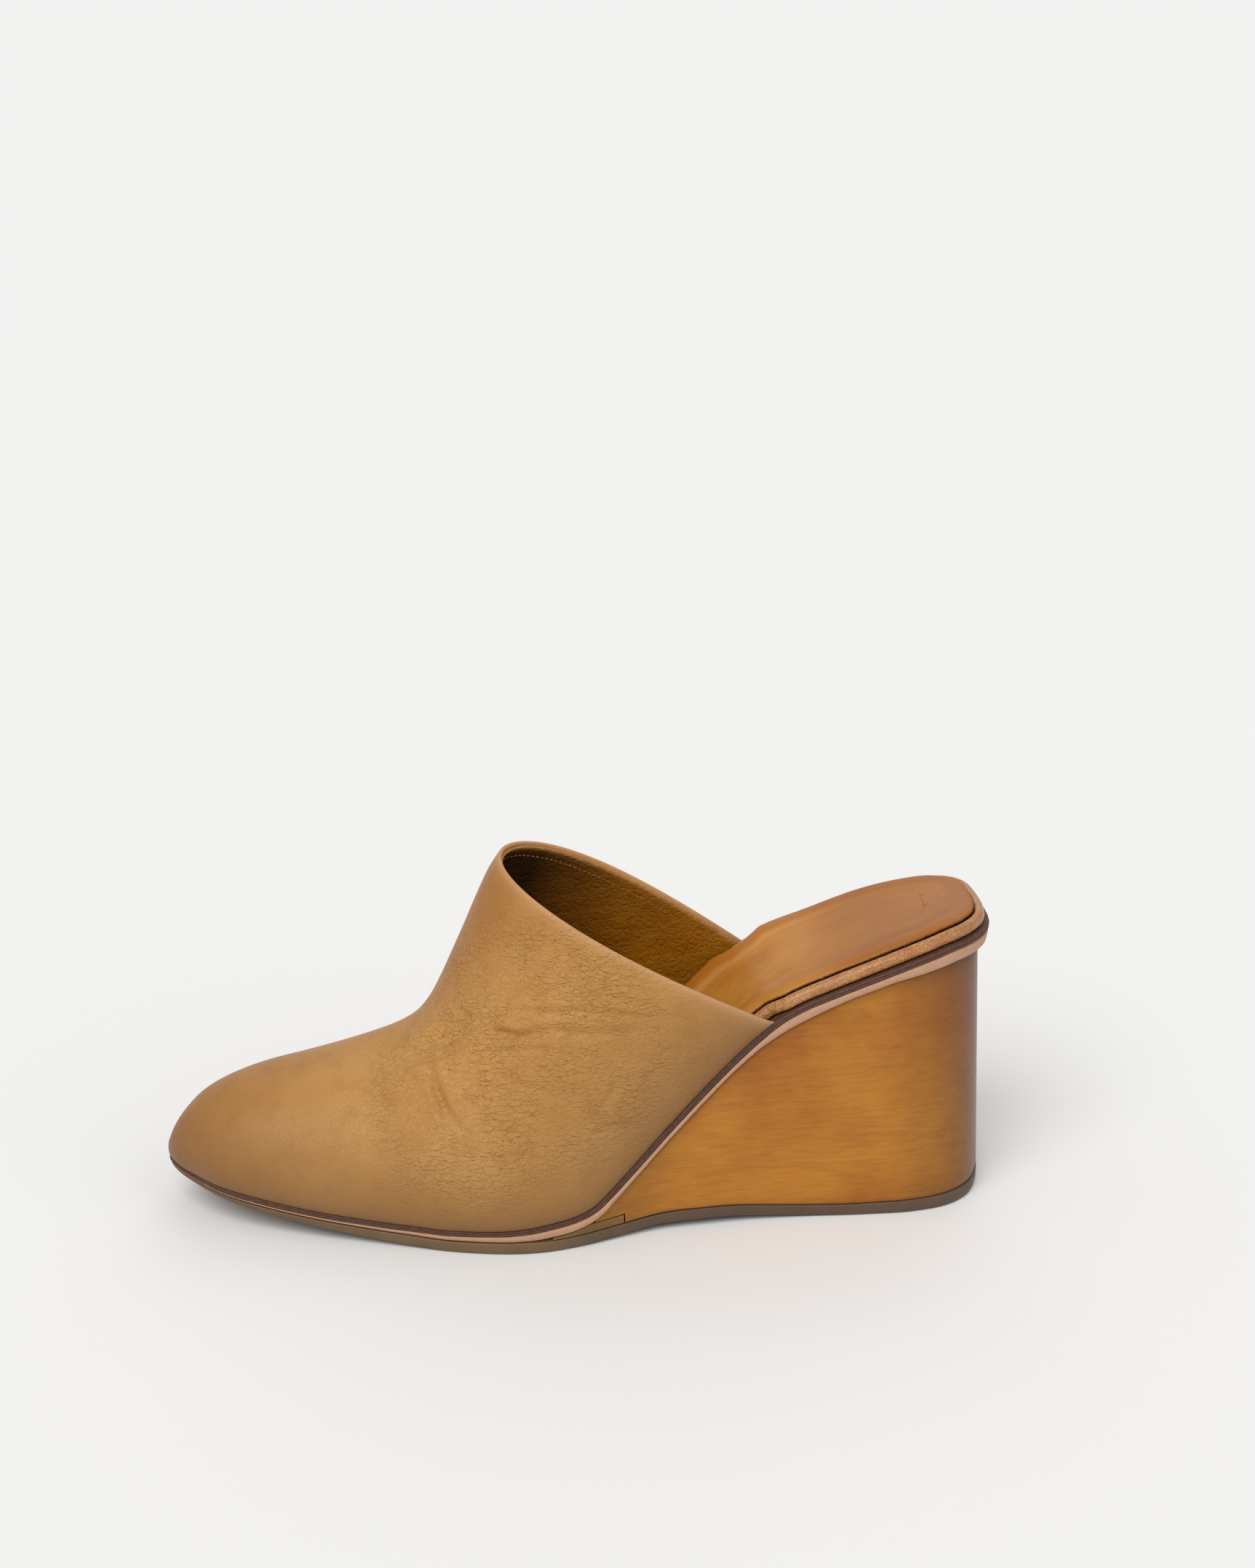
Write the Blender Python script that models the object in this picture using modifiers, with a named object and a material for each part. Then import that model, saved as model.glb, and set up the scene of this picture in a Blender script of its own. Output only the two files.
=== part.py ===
"""Wedge mule for the left foot, in metres, +Z up.

The toe points to -X, the outer (lateral) side of the foot is at -Y and the inner (medial) side at +Y.
The origin is on the floor, under the middle of the shoe's own box. Inside the tables and functions a
place along the shoe is measured from the tip of the toe, and place_on_floor moves the finished pieces.

From the floor up: outsole, wedge filler, wooden wedge, midsole, welt, wrapped insole, sock, upper.
"""

import bmesh
import bpy
import numpy as np

# Overall sizes of the shoe
SHOE_LENGTH = 0.242
BALL_WIDTH = 0.080
SEAT_WIDTH = 0.0575
TREAD_HEEL_WIDTH = 0.0568
TOE_SPRING = 0.0126
HEEL_RISE = 0.0743
WAIST_LIFT = 0.0023
BACK_SETBACK = 0.0004
CLEARANCE = 0.0003

# Thickness of each layer of the sole at the ball
OUTSOLE_THICKNESS = 0.0034
MIDSOLE_THICKNESS = 0.0022
WELT_THICKNESS = 0.0016
INSOLE_THICKNESS = 0.0028
SOCK_THICKNESS = 0.0010
FILLER_THICKNESS = 0.0026

# The upper
VAMP_REACH = 0.1030
COLLAR_REACH = 0.1765
INSTEP_HEIGHT = 0.0972
UPPER_WALL = 0.0020
UPPER_FOOT_INSET = 0.0010
LATERAL_TOPLINE_DROP = 0.0018
MEDIAL_TOPLINE_LIFT = 0.0045

# Steps and bevels at the edges of the layers
MIDSOLE_INSET = 0.0003
MIDSOLE_BEVEL = 0.0007
WEDGE_SIDE_INSET = 0.0010
WEDGE_BACK_INSET = 0.0030
WEDGE_BASE_INSET = 0.0004
FILLER_NOTCH = 0.1324
FEATHER_EDGE = 0.0005
STEP_RUN = 0.0003
TREAD_BEVEL = 0.0004
INSOLE_LEDGE = 0.0012
INSOLE_BACK_LEDGE = 0.0018
INSOLE_FIT = 0.0005
SOCK_MARGIN = 0.0027
HIDDEN_SOCK_MARGIN = 0.0008
SOCK_LIP = 0.0009
LIP_WIDTH = 0.0035
DISH_WIDTH = 0.0110
INSOLE_STEP_RUN = 0.0040

# Shares: of the insole's thickness that its edge is rounded, and of the sock's half width that its lip
# and its dish may take where it is narrow
INSOLE_ROLL = 0.25
LIP_LIMIT = 0.4
DISH_LIMIT = 0.8

# Places along the shoe, as shares of its length: where the layers stop lying on each other and the foot
# bed starts to climb, and where the heel's overhang begins
BALL_END = 0.40
WEDGE_BACK_FROM = 0.80

# How finely the curved pieces are divided
SOLE_STATIONS = 50
WEDGE_STATIONS = 34
UPPER_STATIONS = 32
UPPER_HALF_STEPS = 13
LINE_SAMPLES = 600
LOOP_STEPS = 16
LAP_STATIONS = 5
FILLER_STATIONS = 7
EVEN_SHARE = 0.10
WELD_DISTANCE = 1e-6
SLIVER_DISTANCE = 1e-7
SHARP_ANGLE = 40

# Edge of the welt seen from above. along: share of the shoe's length from the toe. of_ball and of_seat:
# share of the ball's or the seat's width, out from the shoe's long axis to that side.
WELT_EDGE_COLUMNS = ("along", "lateral_of_ball", "lateral_of_seat", "medial_of_ball", "medial_of_seat")
WELT_EDGE = (
    (0.010, 0.028, 0.000, 0.140, 0.000),
    (0.036, 0.112, 0.000, 0.248, 0.000),
    (0.070, 0.196, 0.000, 0.324, 0.000),
    (0.116, 0.264, 0.000, 0.388, 0.000),
    (0.174, 0.330, 0.000, 0.440, 0.000),
    (0.232, 0.384, 0.000, 0.472, 0.000),
    (0.290, 0.438, 0.000, 0.488, 0.000),
    (0.350, 0.492, 0.000, 0.484, 0.000),
    (0.400, 0.522, 0.000, 0.459, 0.000),
    (0.446, 0.526, 0.000, 0.418, 0.000),
    (0.496, 0.500, 0.000, 0.372, 0.000),
    (0.550, 0.453, 0.000, 0.335, 0.000),
    (0.606, 0.200, 0.299, 0.160, 0.237),
    (0.665, 0.000, 0.537, 0.000, 0.450),
    (0.730, 0.000, 0.517, 0.000, 0.462),
    (0.800, 0.000, 0.503, 0.000, 0.484),
    (0.860, 0.000, 0.492, 0.000, 0.494),
    (0.910, 0.000, 0.451, 0.000, 0.472),
    (0.950, 0.000, 0.376, 0.000, 0.434),
    (0.980, 0.000, 0.258, 0.000, 0.384),
    (0.994, 0.000, 0.152, 0.000, 0.300),
)
TOE_TIP_OFFSET = 0.048

# Edge of the tread behind the ball, where it leaves the welt's edge and follows the foot of the wedge
TREAD_EDGE_COLUMNS = ("along", "lateral_of_ball", "lateral_of_heel", "medial_of_ball", "medial_of_heel")
TREAD_EDGE = (
    (0.496, 0.496, 0.000, 0.366, 0.000),
    (0.545, 0.447, 0.000, 0.328, 0.000),
    (0.590, 0.200, 0.288, 0.160, 0.240),
    (0.640, 0.000, 0.545, 0.000, 0.455),
    (0.700, 0.000, 0.517, 0.000, 0.455),
    (0.770, 0.000, 0.506, 0.000, 0.475),
    (0.840, 0.000, 0.514, 0.000, 0.500),
    (0.900, 0.000, 0.508, 0.000, 0.495),
    (0.944, 0.000, 0.458, 0.000, 0.445),
    (0.972, 0.000, 0.364, 0.000, 0.352),
    (0.989, 0.000, 0.228, 0.000, 0.225),
)
TREAD_LEAVES_WELT = 0.46

# Side view of the welt's top face. springs: share of the toe spring. rises: share of the heel rise.
BOTTOM_LINE_COLUMNS = ("along", "springs", "rises")
BOTTOM_LINE = (
    (0.000, 1.000, 0.000),
    (0.040, 0.800, 0.000),
    (0.080, 0.635, 0.000),
    (0.120, 0.490, 0.000),
    (0.175, 0.325, 0.000),
    (0.230, 0.185, 0.000),
    (0.290, 0.070, 0.000),
    (0.345, 0.000, 0.000),
    (0.400, 0.000, 0.000),
    (0.430, 0.000, 0.007),
    (0.455, 0.000, 0.018),
    (0.480, 0.000, 0.030),
    (0.499, 0.000, 0.047),
    (0.512, 0.000, 0.068),
    (0.524, 0.000, 0.100),
    (0.548, 0.000, 0.175),
    (0.599, 0.000, 0.348),
    (0.649, 0.000, 0.514),
    (0.685, 0.000, 0.629),
    (0.712, 0.000, 0.708),
    (0.735, 0.000, 0.766),
    (0.761, 0.000, 0.812),
    (0.798, 0.000, 0.858),
    (0.839, 0.000, 0.906),
    (0.875, 0.000, 0.944),
    (0.910, 0.000, 0.974),
    (0.947, 0.000, 0.996),
    (1.000, 0.000, 1.000),
)

# Thickness of the layers along the shoe, as shares of their named thickness, and the lift of the tread
# off the floor between ball and heel
LAYER_COLUMNS = ("along", "outsole", "midsole", "welt", "lifts")
LAYERS = (
    (0.000, 0.14, 0.14, 0.65, 0.00),
    (0.040, 0.28, 0.18, 0.85, 0.00),
    (0.080, 0.44, 0.22, 0.96, 0.00),
    (0.120, 0.57, 0.27, 1.00, 0.00),
    (0.180, 0.70, 0.34, 1.00, 0.00),
    (0.250, 0.84, 0.48, 1.00, 0.00),
    (0.320, 0.96, 0.66, 1.00, 0.00),
    (0.400, 1.00, 0.90, 1.00, 0.00),
    (0.446, 1.00, 1.15, 1.00, 0.00),
    (0.475, 1.00, 1.22, 1.00, 0.06),
    (0.500, 1.00, 1.05, 1.00, 0.18),
    (0.530, 1.00, 0.70, 1.00, 0.38),
    (0.580, 1.00, 0.62, 1.00, 0.74),
    (0.625, 1.00, 0.62, 1.00, 0.98),
    (0.660, 1.00, 0.62, 1.00, 0.96),
    (0.700, 1.00, 0.78, 1.00, 0.72),
    (0.735, 1.00, 1.22, 1.00, 0.42),
    (0.760, 1.00, 1.32, 1.00, 0.22),
    (0.795, 1.01, 1.12, 1.00, 0.06),
    (0.820, 1.03, 1.02, 1.00, 0.00),
    (0.860, 1.08, 1.05, 1.00, 0.00),
    (0.900, 1.14, 1.42, 1.00, 0.00),
    (0.950, 1.20, 1.62, 1.00, 0.00),
    (1.000, 1.25, 1.65, 1.00, 0.00),
)

# Sections of the upper. Each is a curve over the foot in a slanting plane, from the welt at from_toe to
# the ridge of the vamp. from_toe: share of the collar's reach. ridge_along: share of the vamp's reach.
# ridge_up: share of the instep height, above the welt at the ball. ridge_side: share of the ball width
# that the ridge stands to the medial side. side_full: power of the curve across, where 2 is an ellipse
# and more is fuller. swell: how far the sides stand out beyond the welt's edge, as a share of the ball
# width. tilt: share of the topline's drop and lift.
SECTION_COLUMNS = ("from_toe", "ridge_along", "ridge_up", "ridge_side", "side_full", "swell", "tilt")
SECTIONS = (
    (0.006, 0.018, 0.110, 0.048, 2.00, 0.000, 0.00),
    (0.017, 0.037, 0.153, 0.048, 2.02, 0.002, 0.00),
    (0.040, 0.071, 0.200, 0.050, 2.05, 0.006, 0.00),
    (0.074, 0.122, 0.248, 0.052, 2.10, 0.010, 0.00),
    (0.125, 0.202, 0.288, 0.054, 2.15, 0.014, 0.00),
    (0.187, 0.298, 0.318, 0.054, 2.18, 0.017, 0.00),
    (0.261, 0.406, 0.341, 0.052, 2.18, 0.019, 0.00),
    (0.340, 0.514, 0.370, 0.048, 2.14, 0.021, 0.00),
    (0.425, 0.612, 0.405, 0.044, 2.06, 0.022, 0.00),
    (0.510, 0.688, 0.443, 0.040, 1.98, 0.024, 0.00),
    (0.589, 0.743, 0.488, 0.036, 1.92, 0.026, 0.00),
    (0.663, 0.785, 0.545, 0.032, 1.90, 0.030, 0.05),
    (0.731, 0.822, 0.618, 0.028, 1.94, 0.034, 0.15),
    (0.793, 0.860, 0.704, 0.024, 2.02, 0.038, 0.30),
    (0.856, 0.898, 0.792, 0.020, 2.12, 0.042, 0.50),
    (0.918, 0.936, 0.882, 0.018, 2.22, 0.045, 0.72),
    (0.963, 0.967, 0.949, 0.016, 2.30, 0.047, 0.88),
    (1.000, 1.000, 1.000, 0.015, 2.35, 0.048, 1.00),
)


def column(table, names, name):
    """One named column of a table, as an array."""
    return np.array([row[names.index(name)] for row in table], float)


def smooth(table, names, key, name, at):
    """A table's column read between its rows, on a curve that never overshoots them."""
    xs, ys = column(table, names, key), column(table, names, name)
    at = np.clip(np.asarray(at, float), xs[0], xs[-1])
    step = np.diff(xs)
    slope = np.diff(ys) / step
    tangent = np.concatenate([slope[:1], np.zeros(len(xs) - 2), slope[-1:]])
    for i in range(1, len(xs) - 1):
        if slope[i - 1] * slope[i] > 0:
            ahead, behind = 2 * step[i] + step[i - 1], step[i] + 2 * step[i - 1]
            tangent[i] = (ahead + behind) / (ahead / slope[i - 1] + behind / slope[i])
    i = np.clip(np.searchsorted(xs, at, side="right") - 1, 0, len(xs) - 2)
    t = (at - xs[i]) / step[i]
    return (
        ys[i] * (1 + 2 * t) * (1 - t) ** 2
        + tangent[i] * step[i] * t * (1 - t) ** 2
        + ys[i + 1] * t**2 * (3 - 2 * t)
        + tangent[i + 1] * step[i] * t**2 * (t - 1)
    )


def closed_curve(points, steps):
    """A smooth closed curve through the points, with so many steps from each to the next."""
    points = np.asarray(points, float)
    share = np.arange(steps)[:, None] / steps
    spans = []
    for i in range(len(points)):
        p0, p1, p2, p3 = (points[(i + k) % len(points)] for k in (-1, 0, 1, 2))
        d0, d1, d2 = (np.sqrt(np.linalg.norm(b - a)) for a, b in ((p0, p1), (p1, p2), (p2, p3)))
        m1 = (p2 - p1) + d1 * ((p1 - p0) / d0 - (p2 - p0) / (d0 + d1))
        m2 = (p2 - p1) + d1 * ((p3 - p2) / d2 - (p3 - p1) / (d1 + d2))
        spans.append(
            (2 * share**3 - 3 * share**2 + 1) * p1
            + (share**3 - 2 * share**2 + share) * m1
            + (3 * share**2 - 2 * share**3) * p2
            + (share**3 - share**2) * m2
        )
    return np.concatenate(spans)


def edge_rows(table, names, rear_name, rear_width, side):
    """(along, across) of one side of an edge table, across counted out from the axis."""
    along = column(table, names, "along") * SHOE_LENGTH
    front = column(table, names, f"{side}_of_ball") * BALL_WIDTH
    return along, front + column(table, names, f"{side}_of_{rear_name}") * rear_width


def edge_loop(lateral, medial, back):
    """The closed outline from the toe's tip along the lateral side to the back, and round again."""
    tip = [(0.0, TOE_TIP_OFFSET * BALL_WIDTH)]
    out = [(x, -y) for x, y in zip(*lateral)]
    home = [(x, y) for x, y in zip(*medial)][::-1]
    return closed_curve(tip + out + [(back, 0.0)] + home, LOOP_STEPS)


def welt_loop():
    """Outline of the welt, which the midsole follows too."""
    sides = [edge_rows(WELT_EDGE, WELT_EDGE_COLUMNS, "seat", SEAT_WIDTH, s) for s in ("lateral", "medial")]
    return edge_loop(*sides, SHOE_LENGTH)


def tread_loop():
    """Outline of the outsole: the welt's as far as the ball, then the foot of the wedge."""
    sides = []
    for side in ("lateral", "medial"):
        fore = edge_rows(WELT_EDGE, WELT_EDGE_COLUMNS, "seat", SEAT_WIDTH, side)
        rear = edge_rows(TREAD_EDGE, TREAD_EDGE_COLUMNS, "heel", TREAD_HEEL_WIDTH, side)
        kept = fore[0] < TREAD_LEAVES_WELT * SHOE_LENGTH
        sides.append([np.concatenate([f[kept], r]) for f, r in zip(fore, rear)])
    return edge_loop(*sides, SHOE_LENGTH - BACK_SETBACK)


class Outline:
    """Half-widths of a closed outline that is drawn in by an inset, as functions of the place along."""

    def __init__(self, loop, inset=0.0):
        ahead, behind = np.roll(loop, -1, axis=0), np.roll(loop, 1, axis=0)
        run = ahead - behind
        inward = np.stack([-run[:, 1], run[:, 0]], axis=1) / np.linalg.norm(run, axis=1)[:, None]
        depth = inset(loop[:, 0]) if callable(inset) else inset
        loop = loop + inward * np.reshape(depth, (-1, 1))
        tip, back = int(loop[:, 0].argmin()), int(loop[:, 0].argmax())
        loop = np.roll(loop, -tip, axis=0)
        back = (back - tip) % len(loop)
        self.front, self.back = loop[0, 0], loop[back, 0]
        lateral, medial = loop[: back + 1], np.concatenate([loop[back:], loop[:1]])[::-1]
        self.lateral_points = np.maximum.accumulate(lateral[:, 0]), lateral[:, 1]
        self.medial_points = np.maximum.accumulate(medial[:, 0]), medial[:, 1]

    def lateral(self, x):
        """Y of the lateral edge, which is negative but at the tip of the toe."""
        return np.interp(x, *self.lateral_points)

    def medial(self, x):
        """Y of the medial edge."""
        return np.interp(x, *self.medial_points)


def welt_top(x):
    """Height of the welt's top face over the floor."""
    share = np.asarray(x, float) / SHOE_LENGTH
    spring = smooth(BOTTOM_LINE, BOTTOM_LINE_COLUMNS, "along", "springs", share) * TOE_SPRING
    rise = smooth(BOTTOM_LINE, BOTTOM_LINE_COLUMNS, "along", "rises", share) * HEEL_RISE
    fore = np.minimum(x, BALL_END * SHOE_LENGTH)
    stack = OUTSOLE_THICKNESS * layer("outsole", fore) + MIDSOLE_THICKNESS * layer("midsole", fore)
    return stack + WELT_THICKNESS * layer("welt", fore) + 2 * CLEARANCE + spring + rise


def layer(name, x):
    """One column of the layer table at a place along the shoe."""
    return smooth(LAYERS, LAYER_COLUMNS, "along", name, np.asarray(x, float) / SHOE_LENGTH)


def off_welt(x, out):
    """(x, z) of the point that stands off the welt's top face by out, square to it."""
    reach = SHOE_LENGTH / LINE_SAMPLES
    slope = (welt_top(x + reach) - welt_top(x - reach)) / (2 * reach)
    length = np.sqrt(1 + slope**2)
    return x - out * slope / length, welt_top(x) + out / length


def welt_underside(x):
    """How far under the welt's top face its underside lies."""
    return -WELT_THICKNESS * layer("welt", x)


def midsole_underside(x):
    """How far under the welt's top face the midsole's underside lies."""
    return welt_underside(x) - CLEARANCE - MIDSOLE_THICKNESS * layer("midsole", x)


def heights_under_midsole():
    """The place along and the height of points on the midsole's underside."""
    along = np.linspace(0, SHOE_LENGTH, LINE_SAMPLES)
    return off_welt(along, midsole_underside(along))


def midsole_bottom(x):
    """Height of the midsole's underside at a place along the shoe."""
    return np.interp(x, *heights_under_midsole())


def tread_bottom(x):
    """Height of the outsole's underside: sprung at the toe, flat at ball and heel, lifted at the waist."""
    share = np.asarray(x, float) / SHOE_LENGTH
    spring = smooth(BOTTOM_LINE, BOTTOM_LINE_COLUMNS, "along", "springs", share) * TOE_SPRING
    return spring + WAIST_LIFT * layer("lifts", x)


def outsole_top(x):
    """Height of the outsole's top face."""
    return tread_bottom(x) + OUTSOLE_THICKNESS * layer("outsole", x)


def filler_top(x):
    """Height of the filler's top face, which the front of the wedge laps over."""
    return np.minimum(midsole_bottom(x) - CLEARANCE, outsole_top(x) + CLEARANCE + FILLER_THICKNESS)


def first_place(room):
    """The first place behind the ball where there is room for the edge of a tapering piece."""
    along = np.linspace(BALL_END * SHOE_LENGTH, SHOE_LENGTH, LINE_SAMPLES)
    return along[np.argmax(room(along) > FEATHER_EDGE)]


def stations(start, end, count, front_round=True, back_round=True):
    """Places along the shoe, closer together towards an end that is round."""
    share = np.linspace(0, 1, count)
    if front_round and back_round:
        bunched = (1 - np.cos(np.pi * share)) / 2
    elif back_round:
        bunched = np.sin(np.pi / 2 * share)
    else:
        bunched = 1 - np.cos(np.pi / 2 * share)
    return start + (end - start) * ((1 - EVEN_SHARE) * bunched + EVEN_SHARE * share)


def material(name, colour, roughness):
    """A plain finish for one piece."""
    made = bpy.data.materials.new(name)
    made.use_nodes = True
    shader = made.node_tree.nodes["Principled BSDF"]
    shader.inputs["Base Color"].default_value = (*colour, 1.0)
    shader.inputs["Roughness"].default_value = roughness
    shader.inputs["Metallic"].default_value = 0.0
    return made


def mesh_object(name, mesh, finish, collection):
    """A named object with its finish, shaded smooth but for its real edges."""
    piece = bpy.data.objects.new(name, mesh)
    collection.objects.link(piece)
    piece.data.materials.append(finish)
    piece.data.shade_smooth()
    piece.data.set_sharp_from_angle(angle=np.radians(SHARP_ANGLE))
    return piece


def skinned(name, rings, closed):
    """A mesh through rings of points. A closed ring is a solid's section, an open one a line on a shell."""
    mesh = bmesh.new()
    rows = [[mesh.verts.new(point) for point in ring] for ring in rings]
    count = len(rows[0])
    for row, following in zip(rows, rows[1:]):
        for k in range(count if closed else count - 1):
            after = (k + 1) % count
            mesh.faces.new((row[k], row[after], following[after], following[k]))
    if closed:
        for row, turn in ((rows[0], -1), (rows[-1], 1)):
            if max((corner.co - row[0].co).length for corner in row) > 0:
                mesh.faces.new(row[::turn])
    bmesh.ops.remove_doubles(mesh, verts=mesh.verts, dist=WELD_DISTANCE)
    bmesh.ops.dissolve_degenerate(mesh, edges=mesh.edges, dist=SLIVER_DISTANCE)
    if closed:
        bmesh.ops.recalc_face_normals(mesh, faces=mesh.faces)
    data = bpy.data.meshes.new(name)
    mesh.to_mesh(data)
    mesh.free()
    return data


def slab(name, top_edge, top_at, bottom_edge, bottom_at, along):
    """A sheet with its own outline above and below. Each _at function gives (x, z) for a place along."""
    rings = []
    for x in along:
        ring = []
        for edge, at in ((top_edge, top_at), (bottom_edge, bottom_at)):
            px, pz = at(x)
            ends = [(px, edge.lateral(x), pz), (px, edge.medial(x), pz)]
            ring += ends if not ring else ends[::-1]
        rings.append(ring)
    return skinned(name, rings, closed=True)


def make_welt(collection):
    """Dark leather strip between upper and midsole, its raw edge showing all round."""
    edge = Outline(welt_loop())
    along = stations(edge.front, edge.back, SOLE_STATIONS)
    data = slab(
        "welt",
        edge, lambda x: off_welt(x, 0.0),
        edge, lambda x: off_welt(x, welt_underside(x)),
        along,
    )
    return mesh_object("welt", data, material("dark_welt_leather", (0.10, 0.045, 0.025), 0.6), collection)


def make_midsole(collection):
    """Pale leather layer under the welt, its lower edge drawn in."""
    top_edge = Outline(welt_loop(), MIDSOLE_INSET)
    low_edge = Outline(welt_loop(), MIDSOLE_INSET + MIDSOLE_BEVEL)
    start, end = max(top_edge.front, low_edge.front), min(top_edge.back, low_edge.back)
    along = stations(start, end, SOLE_STATIONS)
    data = slab(
        "midsole",
        top_edge, lambda x: off_welt(x, welt_underside(x) - CLEARANCE),
        low_edge, lambda x: off_welt(x, midsole_underside(x)),
        along,
    )
    return mesh_object("midsole", data, material("pale_edge_leather", (0.62, 0.36, 0.25), 0.6), collection)


def make_outsole(collection):
    """Rubber outsole from toe to heel, flat on the floor at ball and heel."""
    edge, low_edge = Outline(tread_loop(), MIDSOLE_INSET), Outline(tread_loop(), MIDSOLE_INSET + TREAD_BEVEL)
    rings = []
    for x in stations(low_edge.front, low_edge.back, SOLE_STATIONS):
        bottom, top = float(tread_bottom(x)), float(outsole_top(x))
        shoulder = bottom + min(TREAD_BEVEL, (top - bottom) / 2)
        rings.append([
            (x, edge.lateral(x), top), (x, edge.medial(x), top),
            (x, edge.medial(x), shoulder), (x, low_edge.medial(x), bottom),
            (x, low_edge.lateral(x), bottom), (x, edge.lateral(x), shoulder),
        ])
    data = skinned("outsole", rings, closed=True)
    return mesh_object("outsole", data, material("brown_rubber", (0.12, 0.085, 0.055), 0.55), collection)


def make_filler(collection):
    """Thin tapering rand between outsole and midsole, which the wedge laps over."""
    edge = Outline(tread_loop(), WEDGE_BASE_INSET)
    front = first_place(lambda x: filler_top(x) - outsole_top(x) - CLEARANCE)
    along = np.linspace(front, FILLER_NOTCH, FILLER_STATIONS)
    data = slab(
        "wedge_filler",
        edge, lambda x: (x, float(filler_top(x))),
        edge, lambda x: (x, float(outsole_top(x)) + CLEARANCE),
        along,
    )
    return mesh_object("wedge_filler", data, material("olive_filler", (0.36, 0.22, 0.07), 0.5), collection)


def make_wedge(collection):
    """Wooden wedge under shank and heel. Its thin front laps over the filler, behind which it steps down."""
    def inset(x):
        rear = np.clip((x / SHOE_LENGTH - WEDGE_BACK_FROM) / (1 - WEDGE_BACK_FROM), 0, 1)
        return WEDGE_SIDE_INSET + (WEDGE_BACK_INSET - WEDGE_SIDE_INSET) * rear

    top_edge, low_edge = Outline(welt_loop(), inset), Outline(tread_loop(), WEDGE_BASE_INSET)
    front = first_place(lambda x: midsole_bottom(x) - filler_top(x) - 2 * CLEARANCE)
    step = FILLER_NOTCH + CLEARANCE
    lean = (low_edge.back - top_edge.back) / (top_edge.back - step)
    lap = np.linspace(front, step, LAP_STATIONS)
    body = stations(step + STEP_RUN, top_edge.back, WEDGE_STATIONS, front_round=False)
    rings = []
    for x in np.concatenate([lap, body]):
        top, low_x = float(midsole_bottom(x)) - CLEARANCE, x + lean * max(x - step, 0.0)
        low = (float(outsole_top(low_x)) if x > step else float(filler_top(x))) + CLEARANCE
        rings.append([
            (x, top_edge.lateral(x), top), (x, top_edge.medial(x), top),
            (low_x, low_edge.medial(low_x), low), (low_x, low_edge.lateral(low_x), low),
        ])
    data = skinned("wedge", rings, closed=True)
    return mesh_object("wedge", data, material("varnished_wood", (0.48, 0.24, 0.07), 0.35), collection)


def insole_inset(x):
    """How far the wrapped insole keeps inside the welt's edge: inside the upper, then out to its ledge."""
    inside = UPPER_FOOT_INSET + UPPER_WALL + INSOLE_FIT
    out = np.clip((x - COLLAR_REACH - INSOLE_FIT) / INSOLE_STEP_RUN, 0, 1)
    rear = np.clip((x / SHOE_LENGTH - WEDGE_BACK_FROM) / (1 - WEDGE_BACK_FROM), 0, 1)
    ledge = INSOLE_LEDGE + (INSOLE_BACK_LEDGE - INSOLE_LEDGE) * rear
    return inside + (ledge - inside) * out


def make_insole(collection):
    """Insole board wrapped in leather, its side rounded where it shows behind the upper."""
    edge = Outline(welt_loop(), insole_inset)
    roll = INSOLE_THICKNESS * INSOLE_ROLL
    inner = Outline(welt_loop(), lambda x: insole_inset(x) + roll)
    levels = ((0.0, inner), (INSOLE_ROLL, edge), (1.0 - INSOLE_ROLL, edge), (1.0, inner))
    along = stations(inner.front, inner.back, SOLE_STATIONS)
    rings = []
    for x in along:
        ring = []
        for height, side in levels:
            px, pz = off_welt(x, CLEARANCE + height * INSOLE_THICKNESS)
            ring.append((px, side.medial(x), pz))
        for height, side in levels[::-1]:
            px, pz = off_welt(x, CLEARANCE + height * INSOLE_THICKNESS)
            ring.append((px, side.lateral(x), pz))
        rings.append(ring)
    data = skinned("insole", rings, closed=True)
    return mesh_object("insole", data, material("wrap_leather", (0.46, 0.24, 0.10), 0.45), collection)


def sock_inset(x):
    """How far the sock keeps inside the welt's edge: it bares the insole's rolled rim behind the upper."""
    bared = np.clip((x - COLLAR_REACH) / INSOLE_STEP_RUN + 2, 0, 1)
    return insole_inset(x) + HIDDEN_SOCK_MARGIN + (SOCK_MARGIN - HIDDEN_SOCK_MARGIN) * bared


def make_sock(collection):
    """Padded sock on the insole: a soft lip along its edge and a shallow dish inside."""
    edge = Outline(welt_loop(), sock_inset)
    seat = 2 * CLEARANCE + INSOLE_THICKNESS
    rings = []
    for x in stations(edge.front, edge.back, SOLE_STATIONS):
        lateral, medial = float(edge.lateral(x)), float(edge.medial(x))
        half = (medial - lateral) / 2
        lip, dish = min(LIP_WIDTH, half * LIP_LIMIT), min(DISH_WIDTH, half * DISH_LIMIT)
        swell = SOCK_LIP * min(1.0, half / DISH_WIDTH)
        across = [(0, 0), (0, SOCK_THICKNESS), (lip, SOCK_THICKNESS + swell), (dish, SOCK_THICKNESS)]
        ring = []
        for inward, height in across:
            px, pz = off_welt(x, seat + height)
            ring.append((px, lateral + inward, pz))
        for inward, height in across[::-1]:
            px, pz = off_welt(x, seat + height)
            ring.append((px, medial - inward, pz))
        rings.append(ring)
    data = skinned("sock", rings, closed=True)
    return mesh_object("sock", data, material("sock_leather", (0.52, 0.28, 0.10), 0.4), collection)


def section(name, from_toe):
    """One column of the upper's section table."""
    return float(smooth(SECTIONS, SECTION_COLUMNS, "from_toe", name, from_toe))


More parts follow.
